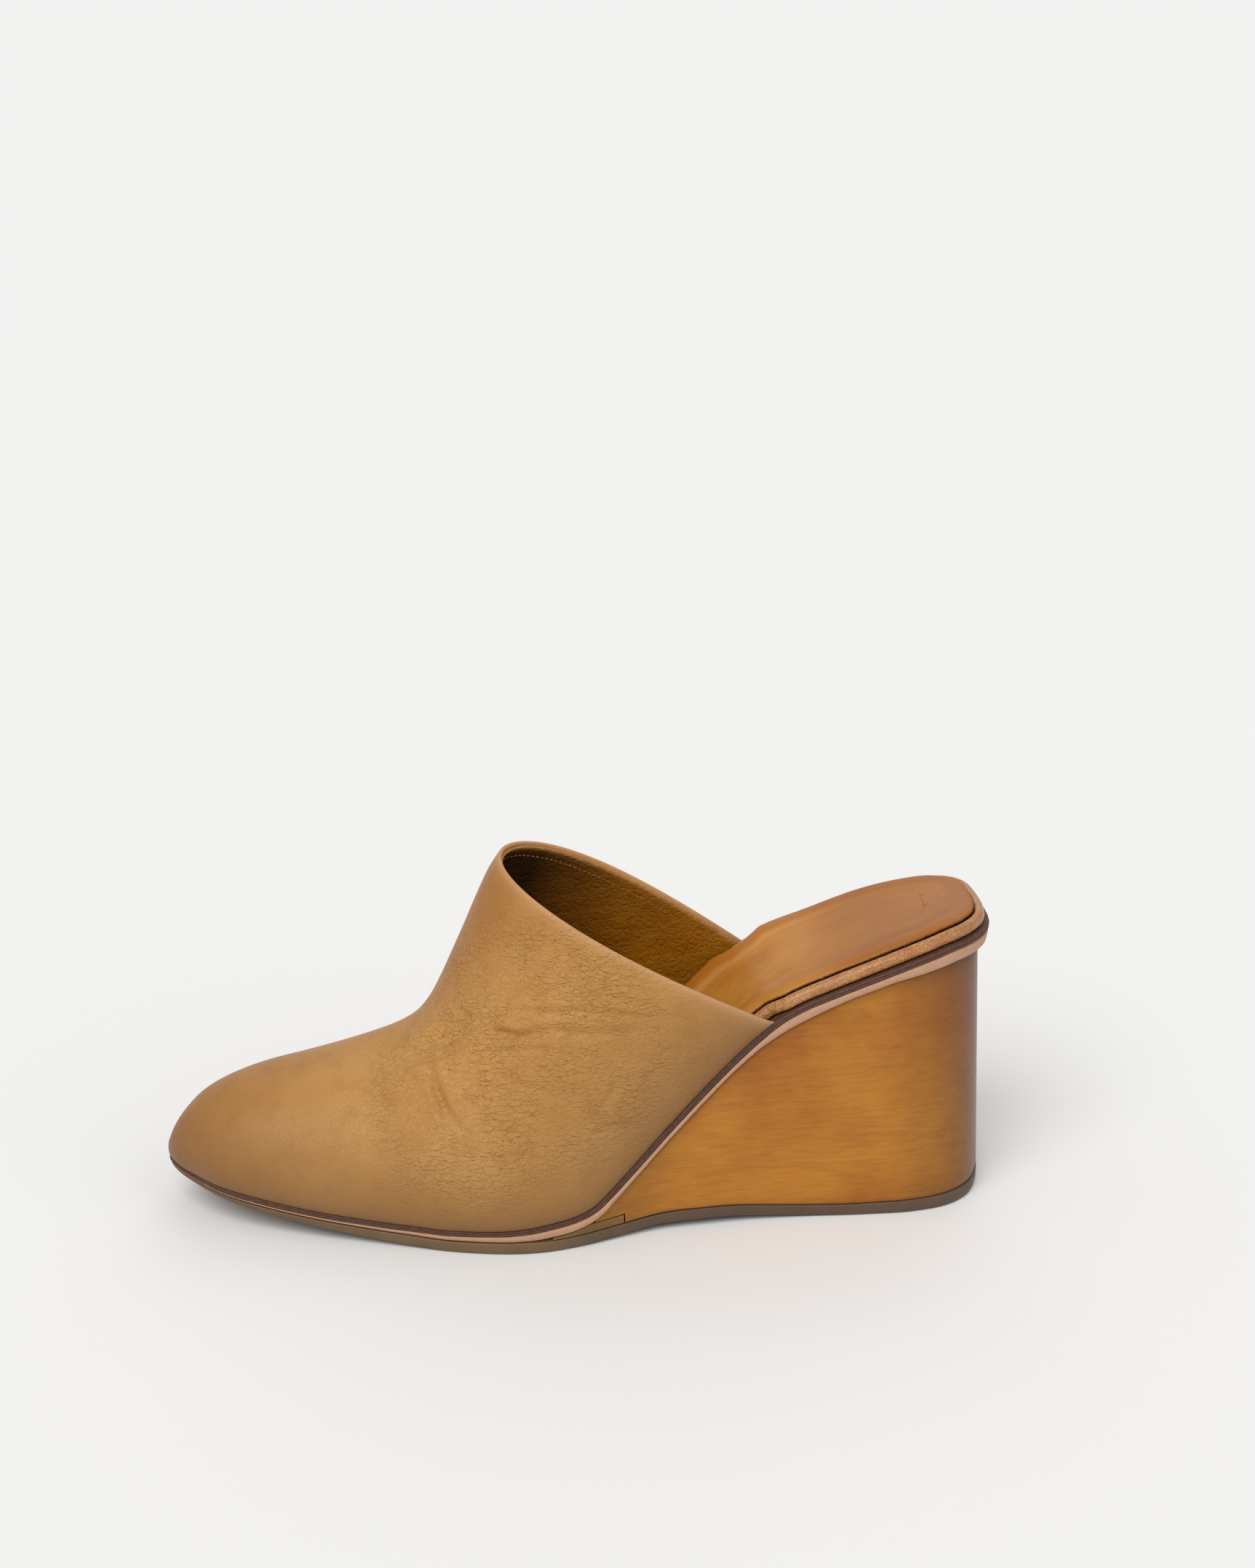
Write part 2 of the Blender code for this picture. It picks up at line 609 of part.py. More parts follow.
def over_the_foot(from_toe, edge):
    """The upper's inner line in one slanting section, from the lateral edge over the ridge to the medial."""
    x = from_toe * COLLAR_REACH
    base = np.array([x, 0.0, float(welt_top(x)) + CLEARANCE])
    ball = float(welt_top(BALL_END * SHOE_LENGTH))
    ridge = np.array([
        section("ridge_along", from_toe) * VAMP_REACH,
        section("ridge_side", from_toe) * BALL_WIDTH,
        ball + section("ridge_up", from_toe) * INSTEP_HEIGHT,
    ])
    climb = ridge - base
    climb[1] = 0.0
    normal = np.array([-climb[2], 0.0, climb[0]]) / np.linalg.norm(climb)
    across_power = 2 / section("side_full", from_toe)
    swell, tilt = section("swell", from_toe) * BALL_WIDTH, section("tilt", from_toe)
    line = []
    for side, width, shift in (
        (-1, ridge[1] - float(edge.lateral(x)), LATERAL_TOPLINE_DROP),
        (1, float(edge.medial(x)) - ridge[1], -MEDIAL_TOPLINE_LIFT),
    ):
        half = []
        for turn in np.linspace(0, np.pi / 2, UPPER_HALF_STEPS + 1):
            out = width * max(np.cos(turn), 0.0) ** across_power + swell * np.sin(2 * turn) * np.cos(turn)
            point = base + climb * np.sin(turn) + normal * shift * tilt * np.sin(2 * turn)
            half.append((point[0], ridge[1] + side * out, point[2]))
        line += half if side < 0 else half[::-1][1:]
    return line


def make_upper(collection):
    """One-piece leather upper: an open shell that stands on the welt's top face, with its wall outward.

    Its first section has no width, so that the two sides meet in one line at the toe's tip.
    """
    edge = Outline(welt_loop(), UPPER_FOOT_INSET)
    share = stations(edge.front / COLLAR_REACH, 1.0, UPPER_STATIONS, back_round=False)
    data = skinned("upper", [over_the_foot(s, edge) for s in share], closed=False)
    piece = mesh_object("upper", data, material("tan_upper_leather", (0.52, 0.30, 0.14), 0.45), collection)
    wall = piece.modifiers.new("wall", "SOLIDIFY")
    wall.thickness = UPPER_WALL
    wall.offset = -1.0
    wall.use_even_offset = True
    return piece


def place_on_floor(pieces):
    """Moves the pieces so that the origin lies on the floor under the middle of their common box."""
    bpy.context.view_layer.update()
    graph = bpy.context.evaluated_depsgraph_get()
    points = []
    for piece in pieces:
        shown = piece.evaluated_get(graph)
        mesh = shown.to_mesh()
        points += [tuple(v.co) for v in mesh.vertices]
        shown.to_mesh_clear()
    low, high = np.min(points, axis=0), np.max(points, axis=0)
    shoe = bpy.data.objects.new("shoe", None)
    bpy.context.scene.collection.objects.link(shoe)
    shoe.location = (-(low[0] + high[0]) / 2, -(low[1] + high[1]) / 2, -low[2])
    for piece in pieces:
        piece.parent = shoe


def main():
    for old in list(bpy.data.objects):
        bpy.data.objects.remove(old)
    collection = bpy.data.collections.new("wedge mule")
    bpy.context.scene.collection.children.link(collection)
    pieces = [
        make_outsole(collection),
        make_filler(collection),
        make_wedge(collection),
        make_midsole(collection),
        make_welt(collection),
        make_insole(collection),
        make_sock(collection),
        make_upper(collection),
    ]
    place_on_floor(pieces)


if __name__ == "__main__":
    main()
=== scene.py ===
"""Wedge mule for the left foot: the dressed model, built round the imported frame.

Every piece is rebuilt finely from the same named sizes as the solids, with its own leather, wood or rubber.
Places inside the functions are measured from the tip of the toe, and TOE_TIP moves them into the frame.
"""

import bmesh
import bpy
import numpy as np
from bpy.props import FloatProperty, FloatVectorProperty, IntProperty, PointerProperty
from mathutils import Matrix


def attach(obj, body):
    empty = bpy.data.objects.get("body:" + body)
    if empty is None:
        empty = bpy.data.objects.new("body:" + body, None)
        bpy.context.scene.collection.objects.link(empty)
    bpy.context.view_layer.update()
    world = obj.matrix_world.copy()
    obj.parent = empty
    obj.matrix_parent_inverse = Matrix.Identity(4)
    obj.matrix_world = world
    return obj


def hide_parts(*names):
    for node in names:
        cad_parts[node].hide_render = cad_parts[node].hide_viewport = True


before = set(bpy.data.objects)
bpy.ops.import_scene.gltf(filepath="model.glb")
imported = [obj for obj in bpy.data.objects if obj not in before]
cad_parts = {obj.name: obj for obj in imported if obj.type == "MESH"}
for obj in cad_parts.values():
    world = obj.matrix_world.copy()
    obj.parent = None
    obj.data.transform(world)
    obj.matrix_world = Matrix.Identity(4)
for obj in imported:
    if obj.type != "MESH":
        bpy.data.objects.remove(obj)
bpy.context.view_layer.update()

bl_info = {
    "name": "Wedge mule",
    "version": (1, 0, 0),
    "blender": (4, 5, 0),
    "location": "3D View > Sidebar > Mule",
    "description": "Builds a leather mule on a wooden wedge, piece by piece",
    "category": "Add Mesh",
}

# Where the tip of the toe stands in the frame
TOE_TIP = (-0.120531, 0.001522, 0.0)

# Overall sizes of the shoe
SHOE_LENGTH = 0.242
BALL_WIDTH = 0.080
SEAT_WIDTH = 0.0575
TREAD_HEEL_WIDTH = 0.0568
TOE_SPRING = 0.0126
HEEL_RISE = 0.0743
WAIST_LIFT = 0.0023
BACK_SETBACK = 0.0004
CLEARANCE = 0.0003

# Thickness of each layer of the sole at the ball
OUTSOLE_THICKNESS = 0.0034
MIDSOLE_THICKNESS = 0.0022
WELT_THICKNESS = 0.0016
INSOLE_THICKNESS = 0.0028
SOCK_THICKNESS = 0.0010
FILLER_THICKNESS = 0.0026

# The upper
VAMP_REACH = 0.1030
COLLAR_REACH = 0.1765
INSTEP_HEIGHT = 0.0972
UPPER_WALL = 0.0020
UPPER_FOOT_INSET = 0.0010
LATERAL_TOPLINE_DROP = 0.0018
MEDIAL_TOPLINE_LIFT = 0.0045

# Steps and bevels at the edges of the layers
MIDSOLE_INSET = 0.0003
WEDGE_SIDE_INSET = 0.0010
WEDGE_BACK_INSET = 0.0030
WEDGE_BASE_INSET = 0.0004
FILLER_NOTCH = 0.1324
FEATHER_EDGE = 0.0005
STEP_RUN = 0.0003
INSOLE_LEDGE = 0.0012
INSOLE_BACK_LEDGE = 0.0018
INSOLE_FIT = 0.0005
SOCK_MARGIN = 0.0027
HIDDEN_SOCK_MARGIN = 0.0008
SOCK_LIP = 0.0009
DISH_WIDTH = 0.0110
INSOLE_STEP_RUN = 0.0040

# Places along the shoe, as shares of its length: where the layers stop lying on each other and the foot
# bed starts to climb, and where the heel's overhang begins
BALL_END = 0.40
WEDGE_BACK_FROM = 0.80
LINE_SAMPLES = 1200
LOOP_STEPS = 24

# How finely the pieces are divided, and where points count as one
UPPER_ROWS = 176
UPPER_TURNS = 135
LINING_ROWS = 110
LINING_TURNS = 55
SOLE_STEPS = 420
EDGE_STEP = 0.00063
WEDGE_STEPS = 190
WELD = 2e-6

# Build of the upper: outer leather, the gap to its lining, the share of the collar's reach that the folded
# edge takes, and the way along the shoe that the collar's reach stands for near the topline
LEATHER = 0.0012
LINING_GAP = 0.00005
FOLD_SHARE = 0.0042
TOPLINE_SPAN = 0.150

# Rows of the upper from toe to topline: share of the rows, share of the way
ROW_SPREAD = (0, 0.10, 0.32, 1), (0, 0.03, 0.42, 1)

# How far the leather is drawn in at the welt, and how soon it is full again
TUCK = 0.0010
TUCK_REACH = 0.0012

# How far the painted shade and the tints reach: the painted shade up from the welt, the tints back from the toe,
# down from the topline and along the seat in the frame, and the painted shade around the lining from the ridge
LOW_SHADE_REACH = 0.019
TOE_REACH = 0.055
RIM_SHARE = 0.008
SEAT_SPAN = 0.058, 0.088
DEEP_SHADE_TO = 0.86
DEEP_SHADE_RUN = 0.5

# The sock's medial margin stands up a little where the foot goes in
SOCK_FLARE = 0.0040
FLARE_AT = 0.166
FLARE_RUN = 0.0170
FLARE_FROM_SIDE = 0.008
FLARE_SIDE_RUN = 0.018

# Border groove under the outsole
GROOVE_INSET = 0.0042

# Painted shade on the wood: where the round back starts and its run, where the thin front ends and its run
BACK_SHADE_FROM = 0.205
BACK_SHADE_RUN = 0.034
FRONT_SHADE_TO = 0.152
FRONT_SHADE_RUN = 0.030

# Where the outsole turns from olive to grey brown, and its run
HEEL_TINT_FROM = 0.105
HEEL_TINT_RUN = 0.035

# Creases of the upper. Each row: depth and half width in metres, then the points that it runs through as
# (from_toe, around), with around -1 at the lateral welt and 0 on the ridge
CREASE_SAMPLES = 90
CREASE_SOFTENING = 12
CREASE_REACH = 0.035
CREASES = (
    (0.00055, 0.00121, (
        (0.528, -0.219), (0.595, -0.291), (0.649, -0.334), (0.707, -0.363), (0.747, -0.406),
        (0.765, -0.444), (0.785, -0.473), (0.799, -0.527), (0.833, -0.573), (0.853, -0.622),
        (0.872, -0.686), (0.892, -0.726), (0.916, -0.795),
    )),
    (0.0004, 0.0011, (
        (0.747, -0.199), (0.749, -0.285), (0.755, -0.349), (0.775, -0.403), (0.805, -0.435),
        (0.827, -0.464), (0.843, -0.501), (0.864, -0.565), (0.890, -0.617), (0.906, -0.671),
        (0.916, -0.715), (0.938, -0.769), (0.950, -0.810), (0.960, -0.836),
    )),
    (0.00045, 0.0011, (
        (0.661, -0.288), (0.711, -0.331), (0.749, -0.377), (0.779, -0.438), (0.797, -0.513),
        (0.821, -0.550),
    )),
    (0.0005, 0.00154, (
        (0.580, -0.242), (0.592, -0.303), (0.582, -0.383), (0.576, -0.470), (0.568, -0.553),
        (0.562, -0.620),
    )),
    (0.0003, 0.0011, ((0.576, -0.377), (0.578, -0.484), (0.588, -0.568), (0.599, -0.622))),
    (0.0003, 0.0011, ((0.719, -0.498), (0.741, -0.562), (0.749, -0.614), (0.765, -0.669), (0.769, -0.718))),
    (0.00025, 0.0011, ((0.655, -0.449), (0.673, -0.507), (0.661, -0.582), (0.663, -0.602))),
    (0.00025, 0.0011, ((0.767, -0.862), (0.783, -0.867), (0.799, -0.905), (0.805, -0.942))),
    (0.0002, 0.0011, ((0.805, -0.807), (0.827, -0.827), (0.845, -0.830), (0.859, -0.844))),
    (0.00035, 0.0011, (
        (0.958, -0.487), (0.910, -0.475), (0.868, -0.470), (0.837, -0.447), (0.811, -0.418),
        (0.775, -0.380),
    )),
    (0.0003, 0.0011, ((0.970, -0.565), (0.932, -0.559), (0.892, -0.530), (0.853, -0.490), (0.821, -0.447))),
    (0.0003, 0.0011, (
        (0.978, -0.625), (0.954, -0.637), (0.934, -0.648), (0.936, -0.683), (0.946, -0.732),
        (0.952, -0.790),
    )),
    (0.00025, 0.0011, (
        (0.922, -0.444), (0.880, -0.426), (0.839, -0.401), (0.807, -0.372), (0.765, -0.300),
    )),
    (0.00025, 0.0011, (
        (0.741, -0.470), (0.767, -0.501), (0.801, -0.576), (0.823, -0.654), (0.829, -0.697),
    )),
    (0.00025, 0.0011, ((0.851, -0.767), (0.845, -0.807), (0.819, -0.824), (0.791, -0.836))),
    (0.00097, 0.00352, (
        (0.524, -0.239), (0.592, -0.242), (0.669, -0.274), (0.727, -0.311), (0.757, -0.314),
    )),
)

# Where the upper is finely creased: from_toe, around, radius in metres, weight
CREASED = (
    (0.66, -0.50, 0.030, 0.9),
    (0.78, -0.42, 0.030, 0.9),
    (0.62, -0.30, 0.022, 0.6),
    (0.80, -0.68, 0.020, 0.6),
    (0.72, 0.35, 0.030, 0.6),
    (0.86, -0.74, 0.028, 0.8),
    (0.60, -0.56, 0.022, 0.7),
    (0.92, -0.58, 0.022, 0.6),
)

# Where it is redder than elsewhere, apart from the toe, in the same way
REDDER = (
    (0.97, -0.10, 0.022, 0.75),
    (0.80, 0.00, 0.020, 0.45),
)

# Camera and light. Places in metres in the frame, angles in degrees, CAMERA_CENTRE in the photo's pixels
PHOTO_SIZE = (1725, 2156)
CAMERA_RISE = 25.0
CAMERA_TURN = 3.0
CAMERA_ROLL = 1.5
CAMERA_DISTANCE = 0.750
CAMERA_LOOK = (0.0025, 0.0015, 0.045)
CAMERA_CENTRE = (798.0, 1440.0)
FOCAL_PIXELS = 3510.0
SENSOR = 36.0
FLOOR_DROP = -0.0001
FLOOR_REACH = 12.0
LIGHT_TARGET = (0.0, 0.0, 0.05)
LAMPS = (
    ("key_light", (-0.38, -0.72, 1.05), 46.0, 1.85, (1.0, 0.99, 0.97)),
    ("fill_light", (0.80, -0.60, 0.60), 50.0, 0.32, (1.0, 1.0, 1.0)),
    ("back_light", (0.20, 0.90, 0.80), 50.0, 0.45, (1.0, 1.0, 1.0)),
)
SKY_TINT = (1.0, 1.0, 1.0)
SKY_STRENGTH = 0.45

# Edge of the welt seen from above. along: share of the shoe's length from the toe. of_ball and of_seat:
# share of the ball's or the seat's width, out from the shoe's long axis to that side.
WELT_EDGE_COLUMNS = ("along", "lateral_of_ball", "lateral_of_seat", "medial_of_ball", "medial_of_seat")
WELT_EDGE = (
    (0.010, 0.028, 0.000, 0.140, 0.000),
    (0.036, 0.112, 0.000, 0.248, 0.000),
    (0.070, 0.196, 0.000, 0.324, 0.000),
    (0.116, 0.264, 0.000, 0.388, 0.000),
    (0.174, 0.330, 0.000, 0.440, 0.000),
    (0.232, 0.384, 0.000, 0.472, 0.000),
    (0.290, 0.438, 0.000, 0.488, 0.000),
    (0.350, 0.492, 0.000, 0.484, 0.000),
    (0.400, 0.522, 0.000, 0.459, 0.000),
    (0.446, 0.526, 0.000, 0.418, 0.000),
    (0.496, 0.500, 0.000, 0.372, 0.000),
    (0.550, 0.453, 0.000, 0.335, 0.000),
    (0.606, 0.200, 0.299, 0.160, 0.237),
    (0.665, 0.000, 0.537, 0.000, 0.450),
    (0.730, 0.000, 0.517, 0.000, 0.462),
    (0.800, 0.000, 0.503, 0.000, 0.484),
    (0.860, 0.000, 0.492, 0.000, 0.494),
    (0.910, 0.000, 0.451, 0.000, 0.472),
    (0.950, 0.000, 0.376, 0.000, 0.434),
    (0.980, 0.000, 0.258, 0.000, 0.384),
    (0.994, 0.000, 0.152, 0.000, 0.300),
)
TOE_TIP_OFFSET = 0.048

# Edge of the tread behind the ball, where it leaves the welt's edge and follows the foot of the wedge
TREAD_EDGE_COLUMNS = ("along", "lateral_of_ball", "lateral_of_heel", "medial_of_ball", "medial_of_heel")
TREAD_EDGE = (
    (0.496, 0.496, 0.000, 0.366, 0.000),
    (0.545, 0.447, 0.000, 0.328, 0.000),
    (0.590, 0.200, 0.288, 0.160, 0.240),
    (0.640, 0.000, 0.545, 0.000, 0.455),
    (0.700, 0.000, 0.517, 0.000, 0.455),
    (0.770, 0.000, 0.506, 0.000, 0.475),
    (0.840, 0.000, 0.514, 0.000, 0.500),
    (0.900, 0.000, 0.508, 0.000, 0.495),
    (0.944, 0.000, 0.458, 0.000, 0.445),
    (0.972, 0.000, 0.364, 0.000, 0.352),
    (0.989, 0.000, 0.228, 0.000, 0.225),
)
TREAD_LEAVES_WELT = 0.46

# Side view of the welt's top face. springs: share of the toe spring. rises: share of the heel rise.
BOTTOM_LINE_COLUMNS = ("along", "springs", "rises")
BOTTOM_LINE = (
    (0.000, 1.000, 0.000),
    (0.040, 0.800, 0.000),
    (0.080, 0.635, 0.000),
    (0.120, 0.490, 0.000),
    (0.175, 0.325, 0.000),
    (0.230, 0.185, 0.000),
    (0.290, 0.070, 0.000),
    (0.345, 0.000, 0.000),
    (0.400, 0.000, 0.000),
    (0.430, 0.000, 0.007),
    (0.455, 0.000, 0.018),
    (0.480, 0.000, 0.030),
    (0.499, 0.000, 0.047),
    (0.512, 0.000, 0.068),
    (0.524, 0.000, 0.100),
    (0.548, 0.000, 0.175),
    (0.599, 0.000, 0.348),
    (0.649, 0.000, 0.514),
    (0.685, 0.000, 0.629),
    (0.712, 0.000, 0.708),
    (0.735, 0.000, 0.766),
    (0.761, 0.000, 0.812),
    (0.798, 0.000, 0.858),
    (0.839, 0.000, 0.906),
    (0.875, 0.000, 0.944),
    (0.910, 0.000, 0.974),
    (0.947, 0.000, 0.996),
    (1.000, 0.000, 1.000),
)

# Thickness of the layers along the shoe, as shares of their named thickness, and the lift of the tread
# off the floor between ball and heel
LAYER_COLUMNS = ("along", "outsole", "midsole", "welt", "lifts")
LAYERS = (
    (0.000, 0.14, 0.14, 0.65, 0.00),
    (0.040, 0.28, 0.18, 0.85, 0.00),
    (0.080, 0.44, 0.22, 0.96, 0.00),
    (0.120, 0.57, 0.27, 1.00, 0.00),
    (0.180, 0.70, 0.34, 1.00, 0.00),
    (0.250, 0.84, 0.48, 1.00, 0.00),
    (0.320, 0.96, 0.66, 1.00, 0.00),
    (0.400, 1.00, 0.90, 1.00, 0.00),
    (0.446, 1.00, 1.15, 1.00, 0.00),
    (0.475, 1.00, 1.22, 1.00, 0.06),
    (0.500, 1.00, 1.05, 1.00, 0.18),
    (0.530, 1.00, 0.70, 1.00, 0.38),
    (0.580, 1.00, 0.62, 1.00, 0.74),
    (0.625, 1.00, 0.62, 1.00, 0.98),
    (0.660, 1.00, 0.62, 1.00, 0.96),
    (0.700, 1.00, 0.78, 1.00, 0.72),
    (0.735, 1.00, 1.22, 1.00, 0.42),
    (0.760, 1.00, 1.32, 1.00, 0.22),
    (0.795, 1.01, 1.12, 1.00, 0.06),
    (0.820, 1.03, 1.02, 1.00, 0.00),
    (0.860, 1.08, 1.05, 1.00, 0.00),
    (0.900, 1.14, 1.42, 1.00, 0.00),
    (0.950, 1.20, 1.62, 1.00, 0.00),
    (1.000, 1.25, 1.65, 1.00, 0.00),
)

# Sections of the upper. Each is a curve over the foot in a slanting plane, from the welt at from_toe to
# the ridge of the vamp. from_toe: share of the collar's reach. ridge_along: share of the vamp's reach.
# ridge_up: share of the instep height, above the welt at the ball. ridge_side: share of the ball width
# that the ridge stands to the medial side. side_full: power of the curve across, where 2 is an ellipse
# and more is fuller. swell: how far the sides stand out beyond the welt's edge, as a share of the ball
# width. tilt: share of the topline's drop and lift.
SECTION_COLUMNS = ("from_toe", "ridge_along", "ridge_up", "ridge_side", "side_full", "swell", "tilt")
SECTIONS = (
    (0.006, 0.018, 0.110, 0.048, 2.00, 0.000, 0.00),
    (0.017, 0.037, 0.153, 0.048, 2.02, 0.002, 0.00),
    (0.040, 0.071, 0.200, 0.050, 2.05, 0.006, 0.00),
    (0.074, 0.122, 0.248, 0.052, 2.10, 0.010, 0.00),
    (0.125, 0.202, 0.288, 0.054, 2.15, 0.014, 0.00),
    (0.187, 0.298, 0.318, 0.054, 2.18, 0.017, 0.00),
    (0.261, 0.406, 0.341, 0.052, 2.18, 0.019, 0.00),
    (0.340, 0.514, 0.370, 0.048, 2.14, 0.021, 0.00),
    (0.425, 0.612, 0.405, 0.044, 2.06, 0.022, 0.00),
    (0.510, 0.688, 0.443, 0.040, 1.98, 0.024, 0.00),
    (0.589, 0.743, 0.488, 0.036, 1.92, 0.026, 0.00),
    (0.663, 0.785, 0.545, 0.032, 1.90, 0.030, 0.05),
    (0.731, 0.822, 0.618, 0.028, 1.94, 0.034, 0.15),
    (0.793, 0.860, 0.704, 0.024, 2.02, 0.038, 0.30),
    (0.856, 0.898, 0.792, 0.020, 2.12, 0.042, 0.50),
    (0.918, 0.936, 0.882, 0.018, 2.22, 0.045, 0.72),
    (0.963, 0.967, 0.949, 0.016, 2.30, 0.047, 0.88),
    (1.000, 1.000, 1.000, 0.015, 2.35, 0.048, 1.00),
)


def column(table, names, name):
    """One named column of a table, as an array."""
    return np.array([row[names.index(name)] for row in table], float)


def smooth(table, names, key, name, at):
    """A table's column read between its rows, on a curve that never overshoots them."""
    xs, ys = column(table, names, key), column(table, names, name)
    at = np.clip(np.asarray(at, float), xs[0], xs[-1])
    step = np.diff(xs)
    slope = np.diff(ys) / step
    tangent = np.concatenate([slope[:1], np.zeros(len(xs) - 2), slope[-1:]])
    for i in range(1, len(xs) - 1):
        if slope[i - 1] * slope[i] > 0:
            ahead, behind = 2 * step[i] + step[i - 1], step[i] + 2 * step[i - 1]
            tangent[i] = (ahead + behind) / (ahead / slope[i - 1] + behind / slope[i])
    i = np.clip(np.searchsorted(xs, at, side="right") - 1, 0, len(xs) - 2)
    t = (at - xs[i]) / step[i]
    return (
        ys[i] * (1 + 2 * t) * (1 - t) ** 2
        + tangent[i] * step[i] * t * (1 - t) ** 2
        + ys[i + 1] * t**2 * (3 - 2 * t)
        + tangent[i + 1] * step[i] * t**2 * (t - 1)
    )


def closed_curve(points, steps):
    """A smooth closed curve through the points, with so many steps from each to the next."""
    points = np.asarray(points, float)
    share = np.arange(steps)[:, None] / steps
    spans = []
    for i in range(len(points)):
        p0, p1, p2, p3 = (points[(i + k) % len(points)] for k in (-1, 0, 1, 2))
        d0, d1, d2 = (np.sqrt(np.linalg.norm(b - a)) for a, b in ((p0, p1), (p1, p2), (p2, p3)))
        m1 = (p2 - p1) + d1 * ((p1 - p0) / d0 - (p2 - p0) / (d0 + d1))
        m2 = (p2 - p1) + d1 * ((p3 - p2) / d2 - (p3 - p1) / (d1 + d2))
        spans.append(
            (2 * share**3 - 3 * share**2 + 1) * p1
            + (share**3 - 2 * share**2 + share) * m1
            + (3 * share**2 - 2 * share**3) * p2
            + (share**3 - share**2) * m2
        )
    return np.concatenate(spans)


def edge_rows(table, names, rear_name, rear_width, side):
    """(along, across) of one side of an edge table, across counted out from the axis."""
    along = column(table, names, "along") * SHOE_LENGTH
    front = column(table, names, f"{side}_of_ball") * BALL_WIDTH
    return along, front + column(table, names, f"{side}_of_{rear_name}") * rear_width


def edge_loop(lateral, medial, back):
    """The closed outline from the toe's tip along the lateral side to the back, and round again."""
    tip = [(0.0, TOE_TIP_OFFSET * BALL_WIDTH)]
    out = [(x, -y) for x, y in zip(*lateral)]
    home = [(x, y) for x, y in zip(*medial)][::-1]
    return closed_curve(tip + out + [(back, 0.0)] + home, LOOP_STEPS)


def welt_loop():
    """Outline of the welt, which the midsole follows too."""
    sides = [edge_rows(WELT_EDGE, WELT_EDGE_COLUMNS, "seat", SEAT_WIDTH, s) for s in ("lateral", "medial")]
    return edge_loop(*sides, SHOE_LENGTH)


def tread_loop():
    """Outline of the outsole: the welt's as far as the ball, then the foot of the wedge."""
    sides = []
    for side in ("lateral", "medial"):
        fore = edge_rows(WELT_EDGE, WELT_EDGE_COLUMNS, "seat", SEAT_WIDTH, side)
        rear = edge_rows(TREAD_EDGE, TREAD_EDGE_COLUMNS, "heel", TREAD_HEEL_WIDTH, side)
        kept = fore[0] < TREAD_LEAVES_WELT * SHOE_LENGTH
        sides.append([np.concatenate([f[kept], r]) for f, r in zip(fore, rear)])
    return edge_loop(*sides, SHOE_LENGTH - BACK_SETBACK)


class Outline:
    """Half-widths of a closed outline that is drawn in by an inset, as functions of the place along."""

    def __init__(self, loop, inset=0.0):
        ahead, behind = np.roll(loop, -1, axis=0), np.roll(loop, 1, axis=0)
        run = ahead - behind
        inward = np.stack([-run[:, 1], run[:, 0]], axis=1) / np.linalg.norm(run, axis=1)[:, None]
        depth = inset(loop[:, 0]) if callable(inset) else inset
        loop = loop + inward * np.reshape(depth, (-1, 1))
        tip, back = int(loop[:, 0].argmin()), int(loop[:, 0].argmax())
        loop = np.roll(loop, -tip, axis=0)
        back = (back - tip) % len(loop)
        self.front, self.back = loop[0, 0], loop[back, 0]
        lateral, medial = loop[: back + 1], np.concatenate([loop[back:], loop[:1]])[::-1]
        self.lateral_points = np.maximum.accumulate(lateral[:, 0]), lateral[:, 1]
        self.medial_points = np.maximum.accumulate(medial[:, 0]), medial[:, 1]

    def lateral(self, x):
        """Y of the lateral edge, which is negative but at the tip of the toe."""
        return np.interp(x, *self.lateral_points)

    def medial(self, x):
        """Y of the medial edge."""
        return np.interp(x, *self.medial_points)


def welt_top(x):
    """Height of the welt's top face over the floor."""
    share = np.asarray(x, float) / SHOE_LENGTH
    spring = smooth(BOTTOM_LINE, BOTTOM_LINE_COLUMNS, "along", "springs", share) * TOE_SPRING
    rise = smooth(BOTTOM_LINE, BOTTOM_LINE_COLUMNS, "along", "rises", share) * HEEL_RISE
    fore = np.minimum(x, BALL_END * SHOE_LENGTH)
    stack = OUTSOLE_THICKNESS * layer("outsole", fore) + MIDSOLE_THICKNESS * layer("midsole", fore)
    return stack + WELT_THICKNESS * layer("welt", fore) + 2 * CLEARANCE + spring + rise


def layer(name, x):
    """One column of the layer table at a place along the shoe."""
    return smooth(LAYERS, LAYER_COLUMNS, "along", name, np.asarray(x, float) / SHOE_LENGTH)


def off_welt(x, out):
    """(x, z) of the point that stands off the welt's top face by out, square to it."""
    reach = SHOE_LENGTH / LINE_SAMPLES
    slope = (welt_top(x + reach) - welt_top(x - reach)) / (2 * reach)
    length = np.sqrt(1 + slope**2)
    return x - out * slope / length, welt_top(x) + out / length


def welt_underside(x):
    """How far under the welt's top face its underside lies."""
    return -WELT_THICKNESS * layer("welt", x)


def midsole_underside(x):
    """How far under the welt's top face the midsole's underside lies."""
    return welt_underside(x) - CLEARANCE - MIDSOLE_THICKNESS * layer("midsole", x)


def heights_under_midsole():
    """The place along and the height of points on the midsole's underside."""
    along = np.linspace(0, SHOE_LENGTH, LINE_SAMPLES)
    return off_welt(along, midsole_underside(along))


def midsole_bottom(x):
    """Height of the midsole's underside at a place along the shoe."""
    return np.interp(x, *heights_under_midsole())


def tread_bottom(x):
    """Height of the outsole's underside: sprung at the toe, flat at ball and heel, lifted at the waist."""
    share = np.asarray(x, float) / SHOE_LENGTH
    spring = smooth(BOTTOM_LINE, BOTTOM_LINE_COLUMNS, "along", "springs", share) * TOE_SPRING
    return spring + WAIST_LIFT * layer("lifts", x)


def outsole_top(x):
    """Height of the outsole's top face."""
    return tread_bottom(x) + OUTSOLE_THICKNESS * layer("outsole", x)


def filler_top(x):
    """Height of the filler's top face, which the front of the wedge laps over."""
    return np.minimum(midsole_bottom(x) - CLEARANCE, outsole_top(x) + CLEARANCE + FILLER_THICKNESS)


